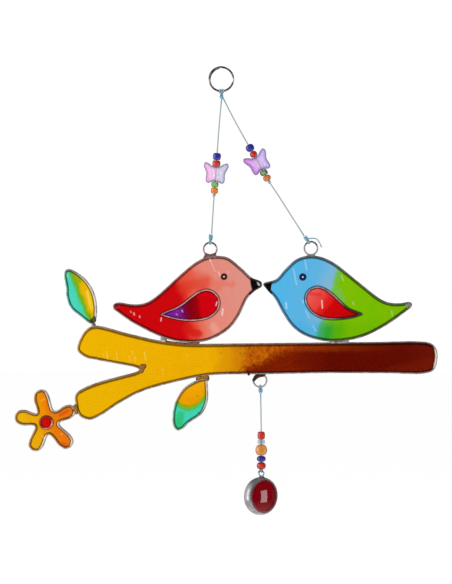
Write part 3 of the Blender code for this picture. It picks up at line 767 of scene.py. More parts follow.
# %% Marks of the figures
RED_BIRD = [
    [(23.3, -123.3), (22.8, -121.9), (21.2, -120.9), (17.7, -119.6), (11.7, -114.1), (3.5, -107.9),
     (-3.5, -107.0), (-9.0, -107.9), (-15.4, -111.2), (-23.1, -117.5), (-38.1, -130.9), (-44.0, -134.0),
     (-50.9, -134.6), (-58.9, -133.6), (-61.6, -135.1), (-61.3, -137.6)],
    [(-61.3, -137.6), (-49.4, -145.8), (-31.0, -154.4), (-20.7, -156.3), (-9.9, -155.8), (-1.9, -152.9),
     (5.3, -147.8), (10.0, -141.5), (15.2, -131.0), (19.2, -127.0), (21.5, -125.6), (22.9, -124.7),
     (23.3, -123.3)]]
BLUE_BIRD = [
    [(23.8, -123.5), (24.5, -122.4), (31.1, -120.3), (36.5, -114.5), (43.1, -108.7), (50.7, -106.8),
     (57.8, -107.9), (65.0, -111.5), (77.2, -121.1), (91.1, -131.8), (96.2, -133.7), (101.9, -134.0),
     (107.6, -133.4), (108.7, -134.8), (107.0, -137.3)],
    [(107.0, -137.4), (94.1, -146.5), (80.6, -153.2), (65.9, -155.9), (56.3, -155.2), (47.5, -152.4),
     (40.6, -147.5), (35.4, -140.3), (30.4, -131.2), (26.7, -127.1), (23.8, -123.5)]]
RED_WING = [
    [(-34.2, -140.5), (-30.7, -138.7), (-26.4, -137.2), (-22.0, -134.6), (-16.4, -130.2), (-12.1, -127.4),
     (-7.9, -126.5), (-3.6, -128.4), (-1.3, -132.4), (-1.9, -137.2), (-5.2, -140.8), (-9.3, -142.7),
     (-16.4, -143.7), (-23.5, -143.2), (-29.2, -142.0), (-34.2, -140.5)]]
BLUE_WING = [
    [(79.8, -140.2), (75.7, -138.7), (71.9, -136.9), (67.7, -133.2), (63.4, -129.1), (59.1, -126.1),
     (55.0, -124.8), (51.3, -125.8), (48.8, -128.4), (48.1, -132.3), (49.9, -136.8), (53.4, -140.2),
     (57.7, -142.2), (63.4, -142.9), (70.5, -142.5), (75.7, -141.6), (79.8, -140.2)]]
BRANCH = [
    (-72.6, -146.8), (-52.0, -151.5), (-36.0, -155.1), (-20.0, -157.0), (-5.0, -157.1), (10.0, -156.9),
    (44.9, -156.4), (87.6, -156.1), (113.0, -155.8), (119.5, -156.9), (122.6, -160.2), (123.1, -165.5),
    (121.1, -172.0), (115.1, -174.1), (94.7, -173.9), (59.1, -173.8), (24.9, -174.5), (2.1, -174.6),
    (-9.0, -175.4), (-23.3, -178.2), (-44.9, -184.2), (-58.6, -191.3), (-68.2, -197.7), (-74.8, -200.4),
    (-80.4, -198.5), (-82.4, -195.0), (-83.2, -190.4), (-83.5, -187.6), (-82.3, -184.9), (-78.4, -182.3),
    (-73.3, -180.1), (-65.5, -177.6), (-55.2, -174.9), (-48.7, -173.1), (-46.8, -171.9), (-48.7, -170.7),
    (-53.1, -169.7), (-60.3, -168.4), (-70.7, -166.4), (-77.2, -164.9), (-82.0, -160.9), (-80.9, -155.3),
    (-76.9, -149.0)]
UPPER_LEAF = [
    [(-73.2, -146.0), (-75.6, -145.2), (-80.8, -141.2), (-86.0, -136.5), (-88.2, -130.5), (-88.6, -124.5),
     (-89.7, -118.5), (-89.0, -115.4), (-86.6, -114.5), (-77.9, -119.7), (-72.9, -126.9), (-70.9, -135.0),
     (-71.1, -142.0), (-72.1, -145.3), (-73.2, -146.0)]]
LOWER_LEAF = [
    [(-8.0, -176.7), (-7.5, -183.5), (-7.8, -190.2), (-10.9, -196.8), (-18.5, -202.3), (-21.8, -205.6),
     (-24.6, -206.6), (-27.0, -204.7), (-27.8, -197.5), (-25.8, -189.3), (-21.0, -182.1), (-14.4, -178.1),
     (-11.0, -177.0), (-8.0, -176.7)]]

# %% [markdown]
# The flower has five fingers with round tips. Each finger is an angle, a reach and a radius,
# and between two fingers the strip dips to a valley. Working the marks out from those few
# numbers keeps every tip round.

# %% Marks of the flower
FLOWER_CENTRE = (-99.7, -202.0)
PETALS = [(101.0, 14.7, 4.4), (26.0, 14.2, 4.0), (-44.0, 15.4, 4.4), (244.0, 13.4, 4.4), (168.0, 13.9, 4.5)]
VALLEYS = [(55.3, 8.1), (-4.0, 7.5), (-78.0, 7.2), (199.0, 7.0), (135.5, 7.7)]
FLOWER_RING_RADIUS = 3.8
FLOWER_RING_WIDTH = 0.8


def polar(centre, degrees, distance):
    """The point at an angle and a distance from a centre."""
    angle = math.radians(degrees)
    return centre[0] + distance * math.cos(angle), centre[1] + distance * math.sin(angle)


flower_marks = []
for (petal_angle, reach, tip_radius), (valley_angle, valley_distance) in zip(PETALS, VALLEYS):
    tip = polar(FLOWER_CENTRE, petal_angle, reach)
    for turn in (95, 45, 0, -45, -95):
        flower_marks.append(polar(tip, petal_angle + turn, tip_radius))
    flower_marks.append(polar(FLOWER_CENTRE, valley_angle, valley_distance))

EDGES = {"red_bird": outline(*RED_BIRD), "blue_bird": outline(*BLUE_BIRD), "branch": round_outline(BRANCH),
         "upper_leaf": outline(*UPPER_LEAF), "lower_leaf": outline(*LOWER_LEAF),
         "flower": round_outline(flower_marks)}
WINGS = {"red_wing": outline(*RED_WING), "blue_wing": outline(*BLUE_WING)}
print("outlines:", {name: len(edge) for name, edge in {**EDGES, **WINGS}.items()})

# %% [markdown]
# Colours of the poured resin. A pour is a function that takes the place in millimetres and
# returns a colour. Most figures need one wavering line, a few stops along it and some ragged
# patches. A stop is a place along the line and a tone. A patch is a line, its width, how ragged
# it is, its strength and its tone. The tips of the beaks are black enamel with a sharp edge.

# %% Pours of the birds
BLACK = (12, 10, 12)


def red_bird_pour(position):
    """Deep red at the tail, orange-red clouds, and salmon at the head, with a black and clear beak."""
    body = blotched(
        position,
        ramp(flow(position, (-18.4, -140.0), 8.0, 5.0, 0.14, 0.004),
             (-26.0, 203, 4, 10), (-4.6, 204, 6, 12), (-2.0, 212, 22, 20), (0.0, 222, 50, 36),
             (2.6, 228, 80, 60), (6.5, 231, 110, 90), (9.5, 231, 128, 112), (14.0, 230, 138, 122),
             (36.0, 224, 146, 132)),
        (-20.6, -119.6, -10.6, -121.4, 7.5, 5.0, 0.62, (228, 84, 62)),
        (-22.0, -124.8, -10.0, -123.4, 5.0, 5.0, 0.62, (222, 58, 40)),
        (-9.0, -121.6, -2.0, -124.2, 4.4, 5.0, 0.4, (230, 92, 66)),
        (1.0, -122.2, 6.4, -123.4, 2.6, 5.0, 0.34, (230, 92, 68)),
        (-19.0, -148.6, -13.6, -151.0, 4.6, 5.0, 0.85, (212, 24, 20)),
        (-11.0, -147.6, -8.6, -151.0, 3.2, 5.0, 0.4, (236, 112, 84)),
        (-4.6, -146.8, -3.0, -149.4, 2.8, 5.0, 0.35, (244, 182, 168)))
    beak = flow(position, (16.8, -123.4), 10.0, 0.0, 0.1, -0.03)
    enamel = blended(fade(beak, -0.5, 0.3), body, BLACK)
    return blended(brushed(position, 20.6, -121.6, 21.9, -124.2, 0.9, 0.5), enamel, (206, 202, 206))


def blue_bird_pour(position):
    """Light blue at the head and leaf green at the tail, with a sea-green line low down."""
    along = flow(position, (62.3, -127.6), -16.0, 3.0, 0.14)
    upper = ramp(along, (-30.0, 84, 182, 230), (-12.0, 94, 180, 226), (-1.5, 128, 182, 214),
                 (1.2, 118, 188, 60), (4.0, 126, 190, 0), (40.0, 122, 186, 0))
    lower = ramp(along, (-14.0, 78, 176, 230), (-2.5, 90, 178, 220), (0.4, 66, 168, 104),
                 (4.5, 50, 164, 44), (10.0, 90, 174, 8), (18.0, 116, 182, 0))
    body = blended(fade(flow(position, (60.0, -143.0), -90.0, 2.0), -2.0, 6.0), upper, lower)
    body = blotched(position, body, (66.5, -128.0, 68.5, -131.5, 3.4, 3.0, 0.3, (110, 182, 120)))
    clouds = fade(speckle(position, 0.1, 3.0), 0.45, 0.7)
    body = blended(clouds * 0.25, body, (110, 196, 240), "SOFT_LIGHT")
    beak = flow(position, (28.6, -124.0), 168.0, 0.0, 0.1, 0.02)
    return blended(fade(beak, -0.15, 0.15), body, BLACK)


def red_wing_pour(position):
    """Purple at the tip, dark crimson, then red."""
    along = flow(position, (-22.0, -140.0), 10.0, 3.0, 0.2)
    body = ramp(along, (-12.0, 112, 30, 160), (-2.0, 126, 26, 150), (1.5, 120, 4, 70), (4.0, 132, 0, 14),
                (8.5, 150, 0, 8), (11.5, 206, 0, 14), (24.0, 208, 2, 16))
    clouds = fade(speckle(position, 0.5, 3.0), 0.5, 0.75)
    return blended(clouds * fade(along, 2.0, -1.5) * 0.5, body, (190, 60, 200))


def blue_wing_pour(position):
    """Coral at the shoulder and deep red at the tip."""
    body = ramp(flow(position, (58.5, -131.5), -38.0, 5.0, 0.16),
                (-9.0, 238, 92, 84), (-2.0, 232, 70, 62), (2.5, 222, 30, 26), (6.0, 204, 4, 6),
                (20.0, 190, 0, 4))
    return blotched(position, body, (51.0, -128.6, 56.5, -129.4, 1.5, 3.0, 0.5, (206, 34, 36)))


# %% Pours of the branch, the leaves and the flower
def branch_pour(position):
    """Amber yellow, then mottled orange, then deep red-brown that begins lower down."""
    amber = flow(position, (5.0, -165.0), 0.0, 14.0, 0.1)
    base = ramp(amber, (-90.0, 240, 182, 0), (-12.0, 238, 174, 0), (-3.0, 224, 152, 2), (4.0, 212, 134, 4),
                (10.0, 204, 110, 4), (40.0, 188, 82, 4))
    dark = ramp(flow(position, (60.0, -165.0), 0.0, 30.0, 0.05), (-24.0, 122, 28, 0), (-10.0, 108, 16, 0),
                (4.0, 96, 9, 0), (44.0, 96, 10, 0), (62.0, 104, 18, 4))
    upper = flow(position, (60.0, -161.6), 90.0, 3.4, 0.3)
    dark = blended(fade(upper, -1.2, 1.8) * fade(amber, 104.0, 20.0) * 0.85, dark, (156, 56, 6))
    corner = flow(position, (98.0, -170.2), -75.0, 3.0, 0.1)
    dark = blended(fade(corner, -3.0, 3.0) * fade(amber, 60.0, 90.0) * 0.4, dark, (126, 30, 8))
    mottle = speckle(position, 0.42, 5.0, 0.7)
    base = blended(fade(mottle, 0.46, 0.58) * fade(amber, 2.0, 12.0) * 0.8, base, (142, 48, 4))
    brown = flow(position, (24.0, -165.5), -64.0, 7.0, 0.2) + (mottle - 0.5) * 16.0
    mixed = blotched(position, blended(fade(brown, -2.5, 4.0), base, dark),
                     (-0.2, -162.4, 0.1, -162.5, 0.45, 0.3, 0.6, (96, 48, 0)),
                     (10.6, -162.4, 10.8, -162.6, 0.45, 0.3, 0.6, (96, 48, 0)))
    return blended(fade(speckle(position, 1.1, 1.0), 0.75, 0.78) * 0.5, mixed, (120, 70, 0))


def upper_leaf_pour(position):
    """Turquoise on the left and amber on the right, with olive green where they meet, and a pale yellow
    painted highlight down the right side.
    """
    along = flow(position, (-80.9, -129.0), 21.0, 4.2, 0.3)
    body = ramp(along, (-8.0, 76, 220, 200), (-1.8, 74, 214, 180), (-0.8, 82, 196, 96), (0.1, 110, 178, 36),
                (0.9, 156, 172, 8), (2.0, 228, 180, 4), (9.0, 240, 188, 8))
    olive = brushed(position, -82.6, -115.6, -81.2, -120.6, 3.2, 1.2) * fade(along, -0.4, 1.0)
    return blotched(position, blended(olive * 0.85, body, (144, 174, 8)),
                    # Painted highlight: a pale yellow streak down the right side
                    (-76.6, -128.0, -73.4, -137.5, 1.5, 1.6, 0.55, (255, 214, 50)),
                    (-75.4, -140.6, -74.2, -143.4, 1.6, 1.0, 0.6, (120, 160, 10)))


def lower_leaf_pour(position):
    """Amber above and turquoise below, with a green line."""
    body = ramp(flow(position, (-18.8, -193.6), -90.0, 1.6, 0.4, 0.07),
                (-13.0, 244, 170, 4), (-2.4, 238, 162, 0), (-1.1, 182, 166, 4), (0.1, 128, 178, 20),
                (1.3, 72, 194, 104), (2.6, 66, 212, 170), (6.0, 66, 214, 188), (13.0, 50, 200, 140))
    return blotched(position, body,
                    (-23.4, -197.4, -23.8, -201.4, 3.0, 3.4, 0.7, (44, 192, 90)),
                    (-22.4, -192.6, -18.8, -193.0, 1.2, 1.4, 0.4, (160, 166, 6)),
                    (-13.9, -187.2, -13.3, -187.0, 1.2, 0.8, 0.45, (150, 150, 10)),
                    (-19.0, -188.6, -13.6, -190.2, 1.8, 2.4, 0.35, (250, 140, 0)),
                    (-13.3, -196.4, -12.9, -196.7, 0.5, 0.2, 0.6, (0, 70, 50)))


def flower_pour(position):
    """Yellow on the left and orange on the right."""
    body = ramp(flow(position, (-98.0, -202.0), 12.0, 7.0, 0.14),
                (-18.0, 240, 184, 16), (-8.0, 238, 172, 8), (-3.0, 240, 150, 4), (1.5, 238, 122, 8),
                (14.0, 234, 116, 12))
    body = blended(fade(attribute(position, "rim"), 1.5, 0.5, 0.0, 0.3), body, (206, 150, 20))
    return blotched(position, body, (-91.6, -197.4, -87.6, -195.4, 1.5, 1.6, 0.55, (222, 66, 16)),
                    (-90.4, -213.6, -88.0, -215.0, 1.3, 1.6, 0.55, (222, 66, 16)))


def flower_centre_pour(position):
    """Red, a little pinker at the left."""
    along = flow(position, FLOWER_CENTRE, 0.0, 1.0, 0.5)
    return ramp(along, (-3.5, 200, 20, 34), (-1.0, 208, 14, 8), (1.0, 200, 12, 4), (3.5, 186, 2, 10))


# %% [markdown]
# Small painted highlights in the resin: on wrinkles where it skinned over, on drops, and at points where
# the strip's end let a little light through. Each is a line between two points with a width and a strength.

# %% Painted highlights on wrinkles and drops
HIGHLIGHT_MARKS = {
    "red_bird": [(-6.8, -108.2, -6.0, -110.2, 0.4, 0.55), (-6.0, -110.2, -3.6, -115.8, 0.3, 0.34),
        (-1.7, -116.2, -0.5, -118.6, 0.45, 0.4), (0.9, -137.4, 0.5, -140.6, 0.5, 0.75),
        (-34.2, -142.4, -34.4, -144.0, 0.4, 0.6), (-49.8, -139.6, -49.6, -140.6, 0.5, 0.5),
        (-46.6, -141.4, -46.4, -142.0, 0.5, 0.4), (-51.6, -138.6, -51.4, -139.2, 0.4, 0.35),
        (3.7, -115.6, 4.2, -117.0, 0.35, 0.25), (20.6, -121.6, 21.8, -124.0, 0.4, 0.5)],
    "blue_bird": [(41.1, -114.3, 42.9, -123.4, 0.42, 0.34), (47.7, -109.5, 48.6, -115.0, 0.34, 0.4),
        (36.9, -133.7, 37.2, -136.9, 0.45, 0.6), (46.5, -132.2, 46.7, -133.8, 0.35, 0.45),
        (48.0, -138.0, 50.2, -142.6, 0.36, 0.34), (52.3, -146.9, 53.7, -149.8, 0.36, 0.34),
        (68.4, -118.2, 69.5, -121.0, 0.4, 0.3), (75.0, -133.4, 75.4, -134.6, 0.4, 0.3),
        (97.1, -138.3, 97.4, -141.0, 0.35, 0.3)],
    "blue_wing": [(57.3, -132.5, 57.6, -136.7, 0.42, 0.75)],
    "red_wing": [(-2.4, -133.4, -3.0, -135.2, 0.4, 0.7), (-25.6, -140.2, -25.2, -140.6, 0.4, 0.4),
        (-22.4, -138.1, -22.0, -138.9, 0.4, 0.5)],
    "branch": [(-67.1, -163.1, -67.0, -163.9, 0.3, 0.4), (-65.2, -161.4, -64.8, -166.0, 0.34, 0.42),
        (-59.6, -161.9, -59.3, -166.0, 0.3, 0.35), (-52.4, -163.8, -52.0, -166.8, 0.32, 0.35),
        (-51.0, -161.2, -50.2, -163.6, 0.3, 0.3), (-49.2, -164.3, -48.8, -167.4, 0.34, 0.4),
        (-43.8, -161.8, -43.0, -166.4, 0.36, 0.45), (-33.4, -171.0, -33.2, -174.6, 0.3, 0.22),
        (-19.4, -163.2, -19.3, -166.0, 0.3, 0.18)],
    "upper_leaf": [(-76.2, -126.4, -74.9, -136.2, 0.5, 0.5), (-88.0, -117.2, -87.4, -119.0, 0.4, 0.4)],
    "lower_leaf": [(-8.8, -190.4, -9.6, -192.4, 0.35, 0.3)],
    "flower": [(-110.0, -202.2, -109.7, -202.9, 0.4, 0.55), (-101.6, -210.0, -101.4, -210.6, 0.4, 0.5),
        (-91.2, -208.4, -90.9, -208.8, 0.45, 0.5), (-85.6, -213.0, -85.3, -213.4, 0.4, 0.45),
        (-102.6, -189.6, -100.6, -188.6, 0.4, 0.3)]}
POURS = {"red_bird": red_bird_pour, "blue_bird": blue_bird_pour, "red_wing": red_wing_pour,
         "blue_wing": blue_wing_pour, "branch": branch_pour, "upper_leaf": upper_leaf_pour,
         "lower_leaf": lower_leaf_pour, "flower": flower_pour, "flower_centre": flower_centre_pour}
# Widths of the dark line of painted shade along the metal
LINES = {"red_bird": 0.56, "blue_bird": 0.6, "branch": 0.46, "upper_leaf": 0.46, "lower_leaf": 0.46,
         "flower": 0.42, "flower_centre": 0.3, "red_wing": 0.58, "blue_wing": 0.58}
# How much wider the dark line of painted shade is along the top
TOP_SHADOWS = {name: 0.2 for name in POURS} | {"branch": 1.0}
# The pale painted highlight where the outline faces right: its width, how far the outline must face right
# for it, and how far for all of it
RIGHT_HIGHLIGHTS = {name: (0.0, 0.5, 1.0) for name in POURS} | {
    "branch": (0.5, 0.72, 1.0), "upper_leaf": (0.42, 0.3, 0.9), "lower_leaf": (0.3, 0.6, 1.0),
    "flower": (0.42, 0.5, 0.95)}
GLINTS = {"branch": (255, 236, 140), "upper_leaf": (255, 226, 110), "flower": (255, 232, 150)}
RESINS = {}
for name, pour in POURS.items():
    RESINS[name] = clear_resin(name + " resin", pour, HIGHLIGHT_MARKS.get(name, ()), LINES[name],
                               LINES[name] * (1 + TOP_SHADOWS[name]), GLINTS.get(name, (255, 255, 255)),
                               RIGHT_HIGHLIGHTS[name])
print("resins:", len(RESINS), "with", sum(len(marks) for marks in HIGHLIGHT_MARKS.values()), "marks")

# %% [markdown]
# The inner side of the strip's ridge is dark, in a deep tint of its resin's colour. This is partly resin
# that runs thinly over it and partly painted shade, wider along the top. So each figure's strip has a
# finish of its own: clean tin on the outer side, and the pour's colour, much darker, on the inner side.
# Painted light also follows the way the outline faces: a pale painted highlight runs along the ridge where
# it faces right, and the ridge takes the pour's colour where it faces left. The beaks are dipped in black
# enamel, which covers the strip along their lower side.

# %% Strips with a dark inner side
DIPPED = {"red_bird": [(17.0, -128.3, 22.6, -124.8), (17.6, -120.6, 22.6, -121.6)],
          "blue_bird": [(24.3, -124.4, 27.8, -127.6)]}
TIN_TONES = {
    "red_bird": ((176, 152, 148), (136, 110, 104)), "blue_bird": ((140, 136, 134), (104, 98, 94)),
    "branch": ((178, 166, 154), (132, 118, 104)), "upper_leaf": ((206, 204, 208), (140, 134, 138)),
    "lower_leaf": ((198, 196, 192), (140, 134, 124)), "flower": ((196, 184, 172), (150, 132, 114))}
DEEP_TINTS = {"branch": (0.34, 0.26, 0.16, 1.0), "flower": (0.36, 0.28, 0.16, 1.0)}
DEEP_TINT = (0.26, 0.22, 0.2, 1.0)
DIP_WIDTH = 1.9


def strip_finish(name):
    """Tin with the dark tint of one figure's resin along its inner side, partly resin and partly painted
    shade, with painted light that follows which way the outline faces.
    """
    def dressed(position, colour):
        pour = POURS[name](position)
        inwards, east, up = (attribute(position, layer) for layer in ("inwards", "east", "up"))
        # Painted light: where the outline faces left, the outer ridge takes the pour's colour
        stained = fade(inwards, 0.05, 0.5) * fade(east, -0.2, -0.9, 0.0, 0.6)
        colour = blended(stained, colour, pour)
        # The inner half takes the pour's colour, where the resin runs over it
        colour = blended(fade(inwards, 0.3, 0.8, 0.0, 0.5), colour, blended(1.0, colour, pour, "MULTIPLY"))
        # The deep tint at the inner edge is partly resin and partly painted shade, wider along the top and
        # weaker where the outline faces left
        tint = blended(1.0, pour, DEEP_TINTS.get(name, DEEP_TINT), "MULTIPLY")
        deeper = inwards + fade(up, 0.6, 0.95, 0.0, 0.32 * TOP_SHADOWS[name])
        colour = blended(fade(deeper, 0.74, 0.98) * fade(east, -0.2, -0.9, 1.0, 0.65), colour, tint)
        # Painted highlight: a pale line along the ridge where the outline faces right
        width, first, full = RIGHT_HIGHLIGHTS[name]
        painted_highlight = fade(east, first, full, 0.0, width * 1.7)
        colour = blended(painted_highlight * fade(inwards, 0.35, 0.7), colour, (252, 244, 232))
        for ends in DIPPED.get(name, ()):
            dip = marked(position, *ends, DIP_WIDTH)
            colour = blended(fade(dip, 0.2, 0.5, 0.0, 0.9), colour, BLACK)
        return colour
    return metal(name + " strip", *TIN_TONES[name], dull=0.55, dress=dressed)


def blackened_tip(position, colour):
    """A dress for the blue bird's wing wire: a red cast, and nearly black from the middle to the tip."""
    cast = pour_tinted("blue_wing", 0.3)(position, colour)
    along = flow(position, (66.0, -138.0), -28.0, 2.0)
    return blended(fade(along, -3.0, 5.0, 0.0, 0.9), cast, (38, 30, 34))


def reddened_shade_and_highlight(position, colour):
    """A dress for the flower's middle ring: dark red over it except at the lower right, partly red resin
    and partly painted shade, which leaves a pale painted highlight at the lower right.
    """
    red_and_shaded = fade(flow(position, FLOWER_CENTRE, -45.0, 1.0), 2.2, 0.4)
    return blended(red_and_shaded * 0.95, colour, (158, 34, 6))


rosy = pour_tinted("red_bird", 0.42)
WING_WIRES = {
    "red_wing": metal("red wing wire", (232, 204, 204), (190, 160, 158), dress=rosy),
    "blue_wing": metal("blue wing wire", (186, 186, 200), (146, 138, 148), dress=blackened_tip),
    "flower_centre": metal("flower centre wire", (230, 190, 172), (196, 120, 96), dress=reddened_shade_and_highlight)}

# %% [markdown]
# The figures are now made in two passes: first the metal, then the resin inside it. The wings
# are loops of finer wire, so a bird's resin has a hole for its wing, and a small one for the
# bead that is its eye. The resin reaches a hair under the metal, so that no gap shows.

# %% Metal of the figures
INNER_EDGES = {name: grown(edge, -STRIP_WIDTH) for name, edge in EDGES.items()}
WING_OUTER = {name: grown(middle, WIRE_WIDTH / 2) for name, middle in WINGS.items()}
WING_INNER = {name: grown(middle, -WIRE_WIDTH / 2) for name, middle in WINGS.items()}


def flower_circle(change):
    """A circle that is smaller than the flower's middle ring by a number."""
    return circle(FLOWER_CENTRE, FLOWER_RING_RADIUS - change, 48)


ring_outer, ring_inner = flower_circle(0), flower_circle(FLOWER_RING_WIDTH)

for name, edge in EDGES.items():
    strip = bent_strip(edge, INNER_EDGES[name], STRIP_DEPTH)
    finished(name + "_strip", strip, strip_finish(name), "tin_strip", [name + "_frame"])
for name in WINGS:
    loop = bent_strip(WING_OUTER[name], WING_INNER[name], WIRE_DEPTH)
    finished(name + "_loop", loop, WING_WIRES[name], "wing_wire", [name + "_wire"])
loop = bent_strip(ring_outer, ring_inner, WIRE_DEPTH)
finished("flower_ring", loop, WING_WIRES["flower_centre"], "tin_strip", ["flower_centre_ring"])
print("metal pieces:", len(made_pieces))

# %% Resin of the figures
EYES = {"red_bird": (1.5, -118.9), "blue_bird": (46.4, -119.1)}
EYE_HOLE = 1.0
HOLES = {"red_bird": "red_wing", "blue_bird": "blue_wing"}
CELLS = {"branch": 0.8, "red_wing": 0.5, "blue_wing": 0.5, "flower_centre": 0.35}


def resin_piece(name, loops, metal_loops, seed=None):
    """The resin of one figure. Without a seed, its waves follow from the number of pieces so far."""
    shape = poured(loops, metal_loops, CELLS.get(name, 0.6), len(made_pieces) if seed is None else seed)
    finished(name + "_pour", shape, RESINS[name], name + "_resin", [name + "_resin"])


for name, edge in EDGES.items():
    loops, metal_loops = [grown(edge, -STRIP_WIDTH + OVERLAP)], [INNER_EDGES[name]]
    if name in HOLES:
        loops.append(grown(WINGS[HOLES[name]], WIRE_WIDTH / 2 - OVERLAP))
        loops.append(circle(EYES[name], EYE_HOLE, 24))
        metal_loops.append(WING_OUTER[HOLES[name]])
    if name == "flower":
        loops.append(flower_circle(OVERLAP))
        metal_loops.append(ring_outer)
    resin_piece(name, loops, metal_loops)
for name, middle in WINGS.items():
    resin_piece(name, [grown(middle, -WIRE_WIDTH / 2 + OVERLAP)], [WING_INNER[name]])
resin_piece("flower_centre", [flower_circle(FLOWER_RING_WIDTH - OVERLAP)], [ring_inner], 3.0)
print("pieces so far:", len(made_pieces),
      "faces:", sum(len(piece.data.polygons) for piece in made_pieces.values()))

# %% [markdown]
# Solder holds the figures to each other and to their eyes. It ran over the joints in small soft
# lumps, so each is a scored sheet again, with its middle raised on both sides. Its edge is drawn
# round the place where the real metal flowed. Some runs lie on the strips and join nothing.

# %% Lumps of solder
HALF = STRIP_DEPTH / 2
SOLDER_CELL = 0.3
UNEVENNESS, UNEVEN_SIZE = 0.5, 1.6


def soft_lump(name, marks, front, back, rise, finish, slot="solder", nodes=()):
    """A flat drop of solder inside a closed outline, domed at the front and at the back."""
    def depth_at(places, rim, side):
        uneven = 1 + UNEVENNESS * ripple(places, UNEVEN_SIZE, 7.0 + side)
        dome = cushion(rim, max(rim.max(), 0.1)) * uneven
        return (front if side < 0 else back) + side * rise * (dome - 0.5)
    edge = round_outline(marks)
    finished(name, shaped(flat_sheet([edge], SOLDER_CELL), [edge], depth_at), finish, slot, nodes, sharp=60)


LEAF_DARK = metal("solder under green resin", (96, 104, 60), (24, 34, 10), 0.6, 0.25, 0.5, 0.12)
TAIL_RED = metal("solder under red resin", (168, 44, 50), (120, 6, 16), 0.9, 0.3, 0.5, 0.06)
TAIL_GREY = metal("solder beside green resin", (156, 158, 142), (84, 88, 62), 0.9, 0.3, 0.5, 0.1)
DARK_SOLDER = metal("darkened solder", (112, 110, 100), (52, 48, 40), 0.8, 0.25, 0.5, 0.1)
BROWNED = metal("browned solder", (168, 122, 122), (104, 52, 52), 0.4, 0.35, 0.55, 0.06)
REDDENED = metal("solder under dark resin", (80, 34, 26), (26, 6, 6), 0.5, 0.15, 0.4, 0.1)
JOINTS = {
    "red_bird_joint": (SOLDER, [(-35.0, -154.2), (-33.6, -153.1), (-31.9, -153.7), (-31.0, -155.0),
        (-31.8, -156.2), (-34.4, -155.7)]),
    "blue_bird_joint": (SOLDER, [(61.7, -156.1), (63.6, -155.5), (68.0, -155.5), (71.6, -154.9),
        (72.8, -155.4), (71.4, -156.6), (67.0, -156.9), (63.0, -156.8)]),
    "upper_leaf_joint": (SOLDER, [(-74.4, -145.6), (-73.4, -145.0), (-72.2, -145.2), (-71.6, -146.4),
        (-72.2, -147.5), (-73.6, -147.2)]),
    "lower_leaf_joint": (OLIVE_SOLDER, [(-14.6, -177.3), (-13.6, -175.7), (-11.2, -175.0), (-8.4, -174.9),
        (-6.9, -175.8), (-7.0, -178.0), (-8.4, -178.4), (-9.4, -177.2), (-11.4, -177.6),
        (-13.2, -178.2)]),
    "flower_joint": (OLIVE_SOLDER, [(-84.4, -193.4), (-83.4, -191.4), (-81.9, -191.8), (-81.4, -194.4),
        (-81.6, -196.8), (-82.9, -197.4), (-84.2, -196.0)])}
RUNS = {
    "red_bird_filler": (OLIVE_SOLDER, 0.3, [(-31.4, -155.5), (-27.0, -155.9), (-20.0, -156.5),
        (-12.2, -156.4), (-13.0, -157.3), (-19.0, -157.6), (-26.0, -157.2), (-31.0, -156.5)]),
    "fork_solder": (OLIVE_SOLDER, 0.4, [(-47.2, -170.2), (-46.0, -168.9), (-43.0, -168.8),
        (-42.6, -169.6), (-43.8, -172.0), (-45.0, -173.9), (-46.6, -173.8), (-47.0, -172.6),
        (-46.2, -171.5)]),
    "upper_leaf_tip": (LEAF_DARK, 0.3, [(-75.6, -144.2), (-74.0, -142.8), (-72.2, -141.2),
        (-71.4, -142.4), (-71.6, -144.6), (-73.2, -145.6), (-74.8, -145.2)]),
    "blue_tail_tip": (TAIL_GREY, 0.4, [(105.0, -134.6), (106.4, -133.7), (107.8, -133.6), (108.6, -134.6),
        (108.2, -136.2), (106.9, -137.3), (105.6, -136.6)]),
    "red_tail_tip": (TAIL_RED, 0.45, [(-61.4, -135.0), (-60.2, -134.1), (-58.6, -134.2), (-57.6, -135.2),
        (-58.6, -136.6), (-60.2, -137.4), (-61.2, -136.6)]),
    "branch_drip": (REDDENED, 0.4, [(14.8, -174.0), (15.6, -173.5), (16.5, -174.0), (16.3, -174.8),
        (15.6, -175.3), (14.9, -174.8)])}
for name, (finish, marks) in JOINTS.items():
    soft_lump(name + "_solder", marks, -HALF, HALF + 0.5, 0.55, finish, nodes=[name])
for name, (finish, rise, marks) in RUNS.items():
    soft_lump(name, marks, -HALF - 0.1, HALF + 0.1, rise, finish)
print("lumps of solder:", len(JOINTS) + len(RUNS))

# %% [markdown]
# Each eye is a ring of bent wire with a foot of solder. The ring is a small circle spun once
# round, and the foot is a soft lump again. The foot of the red bird's eye was overheated and is
# brown, and the one under the branch has dark resin on it.

# %% Eyes of wire
EYE_RADIUS, EYE_WIRE = 4.25, 1.0
EYE_MIDDLE = EYE_RADIUS - EYE_WIRE / 2
EYE_CENTRES = {"red_bird": (-6.3, -103.2), "blue_bird": (51.1, -102.7), "branch": (22.1, -178.0)}
FEET = {
    "red_bird": (BROWNED, [(-10.6, -108.9), (-9.8, -107.0), (-9.4, -105.3), (-6.3, -106.0),
        (-3.2, -105.3), (-2.8, -106.8), (-2.0, -108.3), (-6.3, -108.4)]),
    "blue_bird": (SOLDER, [(47.7, -108.2), (48.7, -106.7), (49.4, -106.0), (51.1, -106.3), (52.8, -106.0),
        (53.5, -106.7), (54.5, -108.2), (51.1, -107.9)]),
    "branch": (REDDENED, [(18.6, -173.4), (19.4, -174.8), (18.5, -176.4), (17.7, -177.4), (17.8, -178.5),
        (18.7, -178.6), (19.9, -177.5), (21.2, -176.6), (22.8, -176.1), (24.2, -175.9), (25.3, -174.8),
        (25.5, -173.4), (21.5, -172.9)])}
